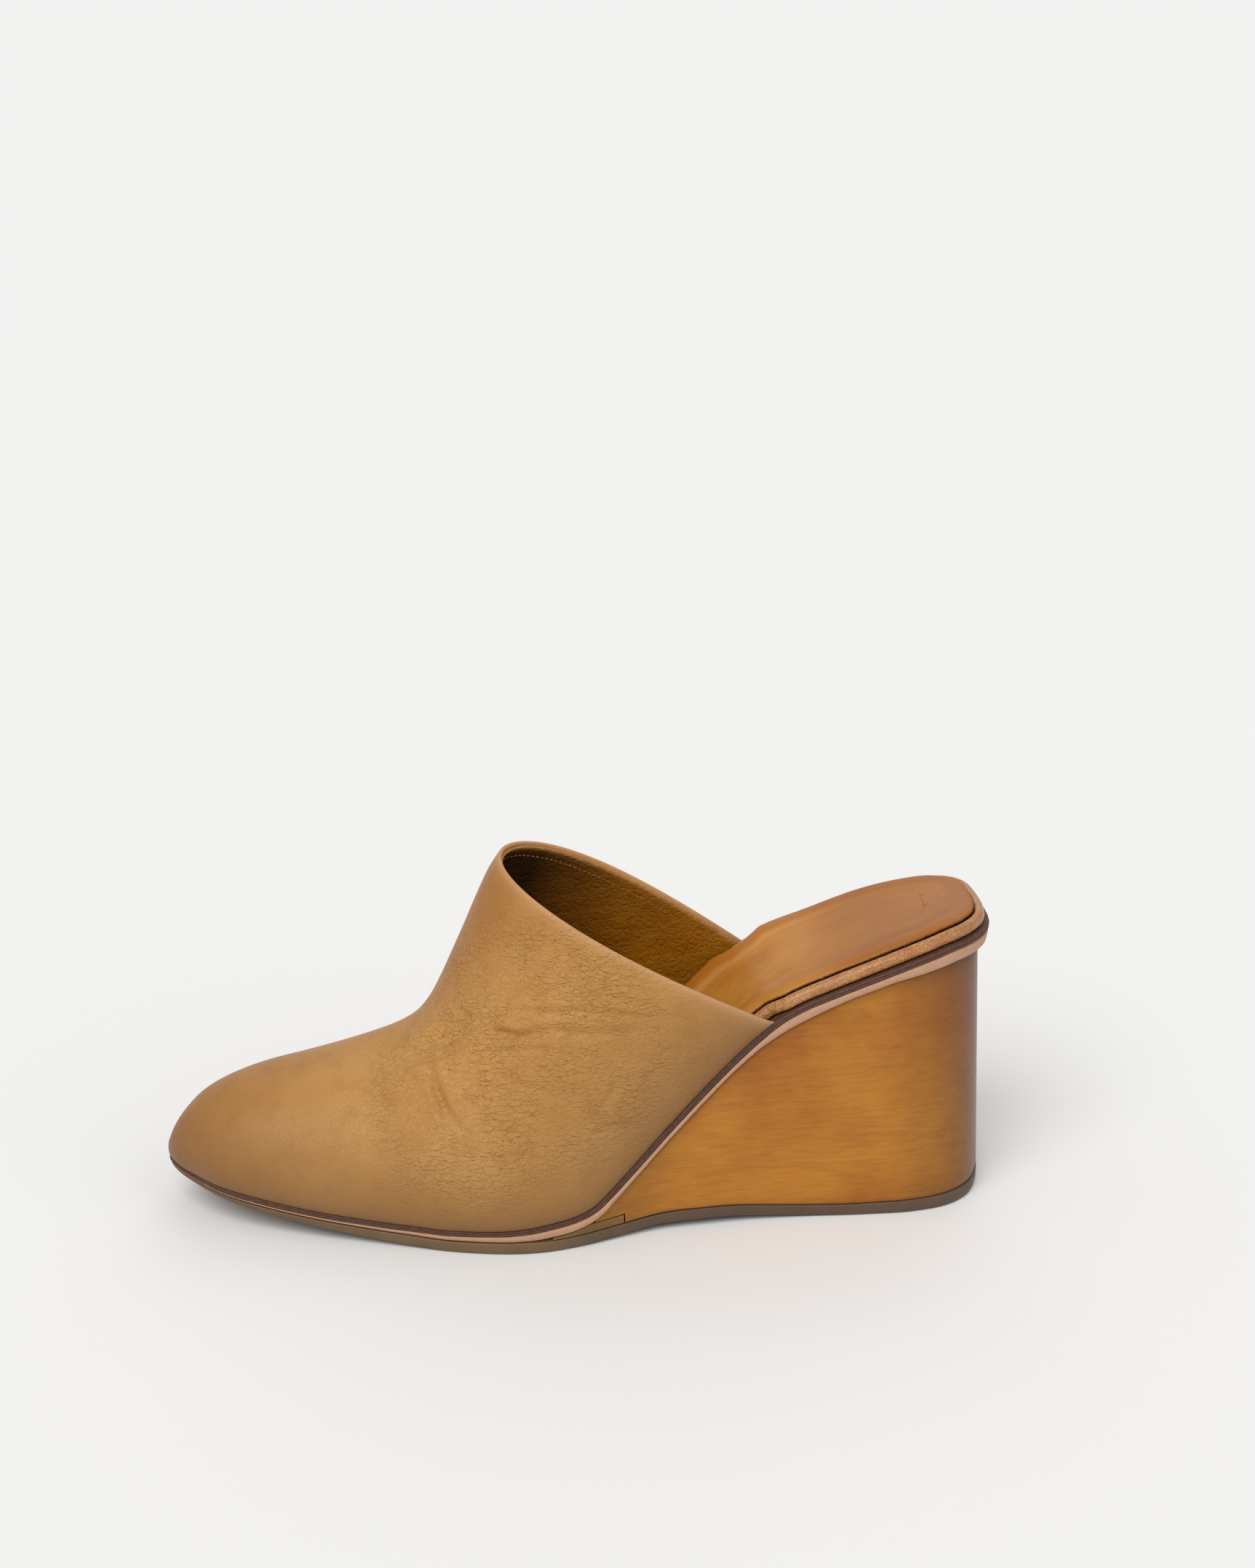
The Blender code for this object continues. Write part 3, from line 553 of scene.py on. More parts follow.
def first_place(room):
    """The first place behind the ball where there is room for the edge of a tapering piece."""
    along = np.linspace(BALL_END * SHOE_LENGTH, SHOE_LENGTH, LINE_SAMPLES)
    return along[np.argmax(room(along) > FEATHER_EDGE)]


def insole_inset(x):
    """How far the wrapped insole keeps inside the welt's edge: inside the upper, then out to its ledge."""
    inside = UPPER_FOOT_INSET + UPPER_WALL + INSOLE_FIT
    out = np.clip((x - COLLAR_REACH - INSOLE_FIT) / INSOLE_STEP_RUN, 0, 1)
    rear = np.clip((x / SHOE_LENGTH - WEDGE_BACK_FROM) / (1 - WEDGE_BACK_FROM), 0, 1)
    ledge = INSOLE_LEDGE + (INSOLE_BACK_LEDGE - INSOLE_LEDGE) * rear
    return inside + (ledge - inside) * out


def sock_inset(x):
    """How far the sock keeps inside the welt's edge: it bares the insole's rolled rim behind the upper."""
    bared = np.clip((x - COLLAR_REACH) / INSOLE_STEP_RUN + 2, 0, 1)
    return insole_inset(x) + HIDDEN_SOCK_MARGIN + (SOCK_MARGIN - HIDDEN_SOCK_MARGIN) * bared


def take(name, x):
    """One column of the upper's section table, at shares of the collar's reach."""
    return smooth(SECTIONS, SECTION_COLUMNS, "from_toe", name, x)


def upper_face(from_toe, around):
    """Points on the upper's inner face: from_toe 0 to 1, around -1 lateral welt, 0 ridge, 1 medial welt."""
    edge = Outline(welt_loop(), UPPER_FOOT_INSET)
    along = np.asarray(from_toe, float)
    x = np.maximum(along * COLLAR_REACH, edge.front)
    base = np.stack([x, 0 * x, welt_top(x) + CLEARANCE], axis=1)
    ball = float(welt_top(BALL_END * SHOE_LENGTH))
    ridge = np.stack([
        take("ridge_along", along) * VAMP_REACH,
        take("ridge_side", along) * BALL_WIDTH,
        ball + take("ridge_up", along) * INSTEP_HEIGHT,
    ], axis=1)
    climb = (ridge - base) * (1, 0, 1)
    square = np.stack([-climb[:, 2], 0 * x, climb[:, 0]], axis=1) / np.linalg.norm(climb, axis=1)[:, None]
    turn = (1 - np.abs(np.asarray(around, float)))[None, :] * np.pi / 2
    lateral = (np.asarray(around) < 0)[None, :]
    width = np.where(lateral, (ridge[:, 1] - edge.lateral(x))[:, None], (edge.medial(x) - ridge[:, 1])[:, None])
    shift = np.where(lateral, LATERAL_TOPLINE_DROP, -MEDIAL_TOPLINE_LIFT) * take("tilt", along)[:, None]
    out = width * np.maximum(np.cos(turn), 0) ** (2 / take("side_full", along))[:, None]
    out = out + take("swell", along)[:, None] * BALL_WIDTH * np.sin(2 * turn) * np.cos(turn)
    up, lift = np.sin(turn)[..., None], (shift * np.sin(2 * turn))[..., None]
    points = base[:, None] + climb[:, None] * up + square[:, None] * lift
    points[..., 1] = ridge[:, 1][:, None] + np.where(lateral, -out, out)
    return points


def face_normals(points):
    """Unit vectors out of a grid of points. The first row is one line, so its two halves share theirs."""
    normals = np.cross(np.gradient(points, axis=0), np.gradient(points, axis=1))
    normals[0] = normals[1] / np.linalg.norm(normals[1], axis=1)[:, None]
    normals[0] += normals[0][::-1]
    return normals / np.linalg.norm(normals, axis=2)[..., None]


def halves(loop, count, start=None, inset=0.0):
    """The lateral and the medial half of an outline, evenly spaced from front to back.

    Each is (points, inward directions, distance along). They are cut off in front of start, and drawn in.
    """
    run = np.roll(loop, -1, axis=0) - np.roll(loop, 1, axis=0)
    inward = np.stack([-run[:, 1], run[:, 0]], axis=1) / np.linalg.norm(run, axis=1)[:, None]
    tip = int(loop[:, 0].argmin())
    loop, inward = np.roll(loop, -tip, axis=0), np.roll(inward, -tip, axis=0)
    back = int(loop[:, 0].argmax())
    loop, inward = np.concatenate([loop, loop[:1]]), np.concatenate([inward, inward[:1]])
    sides = []
    for span in (slice(0, back + 1), slice(len(loop) - 1, back - 1, -1)):
        line, lean = loop[span], inward[span]
        length = np.concatenate([[0], np.cumsum(np.linalg.norm(np.diff(line, axis=0), axis=1))])
        first = 0.0 if start is None else np.interp(start, np.maximum.accumulate(line[:, 0]), length)
        at = np.linspace(first, length[-1], count)
        line, lean = (np.stack([np.interp(at, length, v[:, k]) for k in (0, 1)], axis=1) for v in (line, lean))
        lean /= np.linalg.norm(lean, axis=1)[:, None]
        depth = inset(line[:, 0]) if callable(inset) else inset
        sides.append((line + lean * np.reshape(depth, (-1, 1)), lean, at))
    return sides


def off_welt_face(x, y, level):
    """Points that stand off the welt's top face by level, square to it."""
    px, pz = off_welt(x, level)
    return np.stack([px, y, pz], axis=-1)


def in_tread(x, y, level):
    """Points in the outsole, from level 0 at its underside to level 1 at its top."""
    return np.stack([x, y, tread_bottom(x) + level * (outsole_top(x) - tread_bottom(x))], axis=-1)


def plate_rings(sides, profile, place, middle=5):
    """Rings round a sheet, one for each pair of edge points, with the strip coordinates of each point.

    profile has rows of (inset, level) from the inside of the top over the edge to the inside of the
    underside. Each may be a number, an array or a function of the place along.
    """
    def laid(points, lean, inset, level):
        inset = inset(points[:, 0]) if callable(inset) else inset
        spot = points + lean * np.reshape(inset, (-1, 1))
        return spot, (level(spot[:, 0]) if callable(level) else level) + 0 * spot[:, 0]

    lines = [[laid(points, lean, *row) for row in profile] for points, lean, _ in sides]
    under, over = [], []
    for share in np.arange(1, middle + 1) / (middle + 1):
        for which, kept in ((-1, under), (0, over)):
            (here, level), (there, _) = lines[0][which], lines[1][which]
            kept.append((here + (there - here) * share, level))
    ring = lines[0] + under + lines[1][::-1] + over[::-1]
    rings = np.stack([place(spot[:, 0], spot[:, 1], level) for spot, level in ring], axis=1)
    around = np.concatenate([
        np.zeros((len(rings), 1)),
        np.cumsum(np.linalg.norm(np.diff(rings, axis=1), axis=2), axis=1),
    ], axis=1)
    strip = np.stack([np.repeat(sides[0][2][:, None], rings.shape[1], axis=1), around, 0 * around], axis=2)
    return rings, strip


def ragged(at, size, seed):
    """Smooth seeded noise between -1 and 1 along a line, with bumps of about that size."""
    knots = np.arange(at.min() - size, at.max() + 2 * size, size)
    draws = np.random.default_rng(seed).uniform(-1, 1, len(knots))
    place = (at - knots[0]) / size
    i = np.clip(place.astype(int), 0, len(knots) - 2)
    t = place - i
    t = t * t * (3 - 2 * t)
    return draws[i] * (1 - t) + draws[i + 1] * t


def grid_mesh(name, grids, attributes=(), closed=True, sharp=60.0):
    """One mesh from grids of points (rows, columns, 3), merged where they meet, with point attributes.

    attributes is a tuple of (name, arrays), with one array for each grid. A closed grid runs round.
    """
    points, quads, first = [], [], 0
    for grid, wraps in zip(grids, closed if isinstance(closed, tuple) else (closed,) * len(grids)):
        rows, columns = grid.shape[:2]
        index = np.arange(rows * columns).reshape(rows, columns) + first
        first += rows * columns
        near, far = index[:-1], index[1:]
        ahead = (np.roll(near, -1, axis=1), np.roll(far, -1, axis=1))
        corners = np.stack([near, ahead[0], ahead[1], far], axis=-1)
        quads.append((corners if wraps else corners[:, :-1]).reshape(-1, 4))
        points.append(grid.reshape(-1, 3))
    mesh = bpy.data.meshes.new(name)
    mesh.from_pydata((np.concatenate(points) + TOE_TIP).tolist(), [], np.concatenate(quads).tolist())
    for title, arrays in attributes:
        values = np.concatenate([np.asarray(a, np.float32).reshape(-1, *a.shape[2:]) for a in arrays])
        kind, key = ("FLOAT", "value") if values.ndim == 1 else ("FLOAT_VECTOR", "vector")
        mesh.attributes.new(title, kind, "POINT").data.foreach_set(key, values.ravel())
    shape = bmesh.new()
    shape.from_mesh(mesh)
    bmesh.ops.remove_doubles(shape, verts=shape.verts, dist=WELD)
    bmesh.ops.dissolve_degenerate(shape, edges=shape.edges, dist=WELD)
    rim = [e for e in shape.edges if e.is_boundary]
    if rim:
        bmesh.ops.holes_fill(shape, edges=rim, sides=0)
    bmesh.ops.recalc_face_normals(shape, faces=shape.faces)
    shape.to_mesh(mesh)
    shape.free()
    mesh.shade_smooth()
    mesh.set_sharp_from_angle(angle=np.radians(sharp))
    return mesh


def settle(name, mesh, finish, slot, *nodes):
    """Makes the piece, which rides on the shoe and stands for those nodes of the frame."""
    piece = bpy.data.objects.new(name, mesh)
    bpy.context.scene.collection.objects.link(piece)
    mesh.materials.append(finish)
    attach(piece, "root")
    if nodes:
        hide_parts(*nodes)
    return piece


class Recipe:
    """The nodes of one material. A value that is a socket is linked, and any other is set."""

    def __init__(self, name):
        self.material = bpy.data.materials.new(name)
        self.material.use_nodes = True
        self.nodes = self.material.node_tree.nodes
        self.links = self.material.node_tree.links
        self.shader = self.nodes["Principled BSDF"]

    def put(self, socket, value):
        """Links or sets one input."""
        if isinstance(value, bpy.types.NodeSocket):
            self.links.new(value, socket)
        elif socket.type == "RGBA":
            socket.default_value = (*tuple(value)[:3], 1.0)
        else:
            socket.default_value = value

    def add(self, kind, settings=(), out=0, **values):
        """A node with its settings and inputs, and the output that is used."""
        node = self.nodes.new("ShaderNode" + kind)
        for key, value in dict(settings).items():
            setattr(node, key, value)
        for key, value in values.items():
            self.put(node.inputs[key.replace("_", " ")], value)
        return node.outputs[out]

    def stretched(self, scale=(1, 1, 1), turned=(0, 0, 0), vector=None):
        """The piece's own coordinates in metres, stretched and turned."""
        vector = vector or self.add("TexCoord", out="Object")
        return self.add("Mapping", Vector=vector, Scale=scale, Rotation=turned)

    def noise(self, vector, scale, detail=3.0, rough=0.5, twist=0.0):
        return self.add("TexNoise", Vector=vector, Scale=scale, Detail=detail, Roughness=rough, Distortion=twist)

    def cells(self, vector, scale, feature="F1", random=1.0, **more):
        return self.add(
            "TexVoronoi", {"feature": feature}, out="Distance", Vector=vector, Scale=scale, Randomness=random, **more
        )

    def held(self, name, out="Fac"):
        """A value that the mesh carries."""
        return self.add("Attribute", {"attribute_name": name}, out=out)

    def span(self, value, low, high, to_low=0.0, to_high=1.0):
        """The value read from low to high, smoothly."""
        node = self.nodes.new("ShaderNodeMapRange")
        node.interpolation_type = "SMOOTHSTEP"
        entries = {"Value": value, "From Min": low, "From Max": high, "To Min": to_low, "To Max": to_high}
        for key, entry in entries.items():
            self.put(node.inputs[key], entry)
        return node.outputs[0]

    def sums(self, kind, a, b=0.0, c=0.0):
        node = self.nodes.new("ShaderNodeMath")
        node.operation = kind
        for socket, value in zip(node.inputs, (a, b, c)):
            self.put(socket, value)
        return node.outputs[0]

    def mix(self, share, a, b, blend="MIX"):
        """One colour laid over another."""
        node = self.nodes.new("ShaderNodeMix")
        node.data_type, node.blend_type = "RGBA", blend
        for socket, value in zip((node.inputs[0], node.inputs[6], node.inputs[7]), (share, a, b)):
            self.put(socket, value)
        return node.outputs[2]

    def bump(self, height, depth, under=None, strength=1.0):
        """Relief of that depth in metres, over the relief under it."""
        more = {"Normal": under} if under else {}
        return self.add("Bump", Height=height, Distance=depth, Strength=strength, **more)

    def shift(self, vector, by, scale, size):
        """Coordinates pushed about by noise, so that lines of a pattern wander."""
        noise = self.add("TexNoise", out="Color", Vector=vector, Scale=scale, Detail=2.0)
        centred = self.add("VectorMath", {"operation": "SUBTRACT"})
        self.put(centred.node.inputs[0], noise)
        self.put(centred.node.inputs[1], (0.5, 0.5, 0.5))
        scaled = self.add("VectorMath", {"operation": "SCALE"}, Scale=by * size)
        self.put(scaled.node.inputs[0], centred)
        total = self.add("VectorMath", {"operation": "ADD"})
        self.put(total.node.inputs[0], vector)
        self.put(total.node.inputs[1], scaled)
        return total

    def finish(self, colour, rough, normal, **constants):
        """Joins the shader. Constants go straight on its sockets."""
        self.put(self.shader.inputs["Base Color"], colour)
        self.put(self.shader.inputs["Roughness"], rough)
        self.put(self.shader.inputs["Normal"], normal)
        for key, value in constants.items():
            self.put(self.shader.inputs[key.replace("_", " ")], value)
        return self.material


def leather_grain(make, vector, pebble, depth, under=None):
    """Fine pebble grain: rounded cells of two sizes."""
    wander = make.shift(vector, 0.6, 1.3 / pebble, pebble)
    small = make.cells(wander, 1 / pebble, "SMOOTH_F1", Smoothness=0.35)
    large = make.cells(wander, 0.45 / pebble, "SMOOTH_F1", Smoothness=0.5)
    height = make.sums("MULTIPLY_ADD", large, 0.8, small)
    return make.bump(make.sums("SUBTRACT", 1.0, height), depth, under), height


def upper_leather(colours, sizes):
    """Warm tan leather: smooth and redder at the toe, grained and finely creased on the vamp's side."""
    make = Recipe("tan_leather")
    here = make.stretched()
    creased, low, toe, rim = (make.held(name) for name in ("creased", "low", "toe", "rim"))
    cloud = make.noise(here, 26, 4, 0.55)
    mottle = make.noise(here, 140, 3, 0.6)
    tan = make.mix(make.span(cloud, 0.35, 0.68), colours.upper_tan, colours.upper_light)
    tan = make.mix(make.sums("MULTIPLY", make.span(mottle, 0.45, 0.75), 0.25), tan, colours.upper_red)
    tan = make.mix(make.sums("MULTIPLY", toe, 0.75), tan, colours.upper_red)
    # Painted shade near the welt, where the side turns away from the light
    tan = make.mix(make.sums("MULTIPLY", low, 0.85), tan, colours.upper_low_shade)
    tan = make.mix(make.sums("MULTIPLY", rim, 0.8), tan, colours.upper_rim)
    wander = make.shift(make.stretched((0.5, 1, 1.25), (0, 0.35, 0)), 1.4, 300, 0.0026)
    net = make.cells(wander, 520, "DISTANCE_TO_EDGE")
    finer = make.cells(make.shift(make.stretched((0.7, 1, 1.1)), 1.1, 620, 0.0016), 1050, "DISTANCE_TO_EDGE")
    lines = make.span(net, 0.0, 0.20)
    fine_lines = make.span(finer, 0.0, 0.28)
    patchy = make.span(make.noise(here, 60, 3, 0.6), 0.22, 0.55)
    wave = make.noise(make.stretched((1, 1, 2.2), (0, 0.5, 0)), 55, 3, 0.5)
    waves = make.bump(wave, 0.0011, None, make.sums("MULTIPLY_ADD", creased, 0.35, 0.06))
    net_bump = make.bump(lines, sizes.net_depth, waves, make.sums("MULTIPLY", creased, patchy))
    fine_share = make.sums("MULTIPLY_ADD", creased, 0.75, 0.12)
    fine_bump = make.bump(fine_lines, sizes.net_depth * 0.45, net_bump, fine_share)
    grain, _ = leather_grain(make, here, 0.00055, sizes.grain_depth, fine_bump)
    # Painted shade in the lines of the fine creases, over the creased patches
    worn = make.sums("MULTIPLY", creased, patchy)
    dark = make.sums("MULTIPLY", make.sums("SUBTRACT", 1.0, lines), make.sums("MULTIPLY", worn, 0.06))
    tan = make.mix(dark, tan, colours.upper_crease_shade)
    rough = make.sums("MULTIPLY_ADD", mottle, 0.16, 0.36)
    return make.finish(tan, rough, grain, Specular_IOR_Level=0.32)


def lining_leather(colours, sizes):
    """Dark golden lining with a wrinkled grain."""
    make = Recipe("golden_lining")
    here = make.stretched()
    cloud = make.noise(here, 40, 4, 0.6)
    gold = make.mix(make.span(cloud, 0.3, 0.7), colours.lining, colours.lining_light)
    # Painted shade in the depth of the lining, strongest under the ridge
    gold = make.mix(make.sums("MULTIPLY", make.held("deep"), 0.94), gold, colours.lining_deep_shade)
    gold = make.mix(make.sums("MULTIPLY", make.held("rim"), 0.9), gold, colours.lining_edge)
    wander = make.shift(here, 1.0, 300, 0.002)
    net = make.span(make.cells(wander, 480, "DISTANCE_TO_EDGE"), 0.0, 0.22)
    waves = make.bump(make.noise(make.stretched((1, 1, 1.6)), 120, 3), 0.0008)
    grain, _ = leather_grain(make, here, 0.0005, sizes.grain_depth, make.bump(net, 0.00012, waves))
    return make.finish(gold, make.sums("MULTIPLY_ADD", cloud, 0.2, 0.38), grain, Specular_IOR_Level=0.15)


def rim_leather(colours, sizes):
    """Bronze tan leather, wrapped round the insole: fine glossy pebbles."""
    make = Recipe("pebbled_wrap")
    here = make.stretched()
    cloud = make.noise(here, 180, 4, 0.65)
    bronze = make.mix(make.span(cloud, 0.32, 0.7), colours.wrap, colours.wrap_light)
    grain, pores = leather_grain(make, here, 0.00058, 0.00026)
    bronze = make.mix(make.sums("MULTIPLY", make.span(pores, 0.5, 1.0), 0.42), bronze, colours.wrap_dark)
    bronze = make.mix(make.held("groove"), bronze, colours.cut_edge)
    rough = make.sums("MULTIPLY_ADD", cloud, 0.25, 0.22)
    return make.finish(bronze, rough, grain, Coat_Weight=0.3, Coat_Roughness=0.2)


def sock_leather(colours, sizes):
    """Smooth amber leather with a patina, and a dark raw cut edge."""
    make = Recipe("amber_sock")
    here = make.stretched()
    cloud = make.noise(here, 34, 5, 0.6, 0.4)
    streak = make.noise(make.stretched((0.35, 1, 1), (0, 0.6, 0)), 70, 4, 0.6)
    amber = make.mix(make.span(cloud, 0.32, 0.7), colours.sock, colours.sock_light)
    amber = make.mix(make.sums("MULTIPLY", make.span(streak, 0.42, 0.72), 0.5), amber, colours.sock_ochre)
    amber = make.mix(make.sums("MULTIPLY", make.held("margin"), 0.7), amber, colours.sock_ochre)
    # Painted highlight along the inner slope of the medial lip
    amber = make.mix(make.sums("MULTIPLY", make.held("line"), 0.6), amber, colours.sock_lip_highlight)
    apart = make.add("SeparateXYZ", Vector=here)
    amber = make.mix(make.span(apart, *SEAT_SPAN, 0.0, 0.6), amber, colours.sock_seat)
    ragged_cut = make.noise(here, 1500, 3, 0.7)
    cut = make.sums("MULTIPLY", make.held("cut"), make.span(ragged_cut, 0.25, 0.45))
    amber = make.mix(cut, amber, colours.cut_edge)
    pores = make.bump(make.noise(here, 2600, 2), 0.00003)
    soft = make.bump(make.noise(here, 90, 3), 0.0004, pores)
    torn = make.bump(ragged_cut, 0.0006, soft, make.held("cut"))
    rough = make.sums("MULTIPLY_ADD", cloud, 0.18, 0.34)
    return make.finish(amber, rough, torn, Coat_Weight=0.05, Specular_IOR_Level=0.3)


def raw_edge(name, dark, light, fleck, flecks, depth, rough):
    """Cut leather edge: fibres run along it, with lighter flecks and nicks."""
    make = Recipe(name)
    strip = make.held("strip", "Vector")
    drawn = make.add("Mapping", Vector=strip, Scale=(0.22, 1.0, 1.0))
    fibre = make.noise(drawn, 2600, 4, 0.7, 0.6)
    cloud = make.noise(make.add("Mapping", Vector=strip, Scale=(1, 1, 1)), 130, 3, 0.6)
    nick = make.noise(make.add("Mapping", Vector=strip, Scale=(0.45, 1.0, 1.0)), 1500, 3, 0.75, 0.8)
    colour = make.mix(make.span(fibre, 0.3, 0.72), dark, light)
    torn = make.sums("MULTIPLY", make.span(nick, 0.62, 0.7), make.span(cloud, 0.42, 0.6))
    colour = make.mix(make.sums("MULTIPLY", torn, flecks), colour, fleck)
    coarse = make.bump(nick, depth)
    fine = make.bump(fibre, depth * 0.7, coarse)
    return make.finish(colour, make.sums("MULTIPLY_ADD", cloud, 0.2, rough), fine)


def wedge_wood(colours, sizes):
    """Amber wood under satin varnish: faint level streaks, painted shade at the rounded back, thin front and edges."""
    make = Recipe("varnished_wood")
    here = make.stretched()
    level = make.stretched((0.10, 0.35, 1.0))
    streak = make.noise(level, 1150, 5, 0.65, 0.3)
    vein = make.noise(make.stretched((0.10, 0.35, 1.0)), 300, 4, 0.6, 0.8)
    cloud = make.noise(here, 22, 4, 0.6)
    wood = make.mix(make.span(cloud, 0.34, 0.68), colours.wood, colours.wood_light)
    wood = make.mix(make.sums("MULTIPLY", make.span(streak, 0.4, 0.7), 0.2), wood, colours.wood_dark)
    wood = make.mix(make.sums("MULTIPLY", make.span(vein, 0.5, 0.72), 0.11), wood, colours.wood_dark)
    # Painted shade: the round back turning from the light, the thin front, and the edges under the seat and at the
    # foot
    wood = make.mix(make.sums("MULTIPLY", make.held("shade"), 0.85), wood, colours.wood_dark)
    pores = make.bump(streak, 0.00006)
    dents = make.bump(make.span(make.noise(here, 150, 2), 0.68, 0.8), -0.0002, pores)
    rough = make.sums("MULTIPLY_ADD", streak, 0.14, 0.3)
    return make.finish(wood, rough, dents, Coat_Weight=0.15, Coat_Roughness=0.25, Specular_IOR_Level=0.3)


def tread_rubber(colours, sizes):
    """Brown rubber: olive and a little lighter at the forefoot, grey brown under the wedge."""
    make = Recipe("brown_rubber")
    here = make.stretched()
    cloud = make.noise(here, 60, 4, 0.6)
    drawn = make.noise(make.stretched((0.2, 1, 1)), 900, 3, 0.6)
    rubber = make.mix(make.held("heel"), colours.rubber_olive, colours.rubber)
    rubber = make.mix(make.sums("MULTIPLY", make.span(cloud, 0.35, 0.7), 0.4), rubber, colours.rubber_dark)
    stipple = make.bump(make.noise(here, 2400, 2), 0.00006)
    lines = make.bump(drawn, 0.00008, stipple)
    return make.finish(
        rubber, make.sums("MULTIPLY_ADD", cloud, 0.2, 0.42), lines, Subsurface_Weight=0.06, Subsurface_Scale=0.002
    )


def plain_finish(name, colour, second, scale, depth, rough):
    """A finish with soft variation and a fine surface."""
    make = Recipe(name)
    here = make.stretched()
    cloud = make.noise(here, scale, 4, 0.6)
    tone = make.mix(make.span(cloud, 0.3, 0.7), colour, second)
    fine = make.bump(make.noise(here, scale * 25, 2), depth)
    return make.finish(tone, make.sums("MULTIPLY_ADD", cloud, 0.15, rough), fine)


def srgb(red, green, blue):
    """A paint chip's three numbers as a linear colour."""
    chip = np.array([red, green, blue]) / 255
    return tuple(float(v) for v in np.where(chip <= 0.04045, chip / 12.92, ((chip + 0.055) / 1.055) ** 2.4))


def chip(name, red, green, blue):
    """A colour that a user may change."""
    return FloatVectorProperty(
        name=name, description=f"{name} colour", subtype="COLOR", size=3, min=0.0, max=1.0,
        default=srgb(red, green, blue),
    )


def metres(name, description, default, low=0.0, high=0.02):
    """A length that a user may change."""
    return FloatProperty(
        name=name, description=description, default=default, min=low, max=high, unit="LENGTH", precision=5,
    )


class MuleColours(bpy.types.PropertyGroup):
    """Colours of the leathers, wood, rubber and thread."""

    upper_tan: chip("Upper", 184, 131, 65)
    upper_light: chip("Upper, lighter", 196, 145, 80)
    upper_red: chip("Upper, redder", 152, 94, 38)
    # Painted shade on the upper's low side near the welt
    upper_low_shade: chip("Upper near the welt", 116, 82, 48)
    upper_rim: chip("Topline", 208, 162, 120)
    # Painted shade in the lines of the fine creases
    upper_crease_shade: chip("Creases", 118, 76, 34)
    lining: chip("Lining", 138, 84, 8)
    lining_light: chip("Lining, lighter", 160, 102, 14)
    # Painted shade deep inside the lining
    lining_deep_shade: chip("Lining, in the depth", 12, 4, 1)
    lining_edge: chip("Lining's raw edge", 186, 136, 80)
    wrap: chip("Insole wrap", 188, 122, 62)
    wrap_light: chip("Insole wrap, lighter", 206, 148, 86)
    wrap_dark: chip("Insole wrap, pores", 120, 70, 34)
    sock: chip("Sock", 188, 124, 46)
    sock_light: chip("Sock, lighter", 200, 138, 60)
    sock_ochre: chip("Sock, ochre", 172, 100, 22)
    sock_seat: chip("Sock, seat", 142, 76, 8)
    # Painted highlight along the sock's medial lip
    sock_lip_highlight: chip("Sock, painted lip highlight", 210, 156, 92)
    cut_edge: chip("Cut edge", 62, 32, 18)
    welt: chip("Welt", 66, 38, 26)
    welt_light: chip("Welt, fibres", 104, 66, 46)
    welt_fleck: chip("Welt, flecks", 170, 126, 94)
    midsole: chip("Midsole", 184, 138, 108)
    midsole_light: chip("Midsole, lighter", 200, 156, 126)
    filler: chip("Filler", 140, 104, 44)
    filler_dark: chip("Filler, darker", 108, 78, 30)
    wood: chip("Wood", 162, 94, 12)
    wood_light: chip("Wood, lighter", 184, 120, 32)
    wood_dark: chip("Wood, darker", 76, 44, 10)
    rubber: chip("Outsole at the heel", 92, 70, 52)
    rubber_olive: chip("Outsole at the toe", 112, 86, 56)
    rubber_dark: chip("Outsole, darker", 70, 52, 38)
    thread: chip("Thread", 150, 104, 52)
    floor: chip("Floor", 238, 238, 238)


class MuleSizes(bpy.types.PropertyGroup):
    """Sizes of what is added to the solids' shape."""

    crease_share: FloatProperty(
        name="Creases", description="How deep the main creases are", default=1.6, min=0.0, max=2.0, subtype="FACTOR",
    )
    net_depth: metres("Fine creases", "Depth of the net of fine creases", 0.00019)
    grain_depth: metres("Grain", "Depth of the leather's pebble grain", 0.00009)
    lining_step: metres("Lining step", "How far the lining ends under the topline", 0.0011, 0.0002)
    stitch_step: metres("Stitch row", "How far the stitches lie under the topline", 0.0036, 0.001)
    stitch_pitch: metres("Stitch pitch", "Distance from stitch to stitch", 0.0017, 0.001)
    stitch_length: metres("Stitch length", "Length of one stitch", 0.0012, 0.0005)
    thread_width: metres("Thread", "Width of the thread", 0.00034, 0.0001)
    fibre_count: IntProperty(name="Loose fibres", description="Fibres at the lining's raw edge", default=60, min=0)


def crease_field(points):
    """How far the creases move each point of the upper out, in metres."""
    depth = bpy.context.scene.mule_sizes.crease_share
    flat = points.reshape(-1, 3)
    field = np.zeros(len(flat))
    for deep, wide, route in CREASES:
        knots = np.linspace(0, 1, len(route))
        fine = np.linspace(0, 1, CREASE_SAMPLES)
        path = np.stack([np.interp(fine, knots, [p[k] for p in route]) for k in (0, 1)], axis=1)
        for _ in range(CREASE_SOFTENING):
            path[1:-1] = (path[:-2] + 2 * path[1:-1] + path[2:]) / 4
        spots = np.stack([upper_face(path[i : i + 1, 0], path[i : i + 1, 1])[0, 0] for i in range(len(path))])
        near = np.abs(flat - spots.mean(axis=0)).max(axis=1) < CREASE_REACH
        gap = np.linalg.norm(flat[near][:, None] - spots[None], axis=2)
        which = gap.argmin(axis=1)
        away = gap[np.arange(len(gap)), which] / wide
        fade = np.sin(np.pi * (which + 0.5) / len(spots)) ** 0.7
        field[near] += depth * deep * fade * (-np.exp(-(away**2)) + 0.45 * np.exp(-((away - 1.9) ** 2)))
    return field.reshape(points.shape[:2])


def region(points, rows):
    """A soft value from round patches: rows of (from_toe, around, radius, weight)."""
    total = np.zeros(points.shape[:2])
    for share, turn, radius, weight in rows:
        spot = upper_face(np.array([share]), np.array([turn]))[0, 0]
        total += weight * np.exp(-((np.linalg.norm(points - spot, axis=2) / radius) ** 2))
    return np.clip(total, 0, 1)


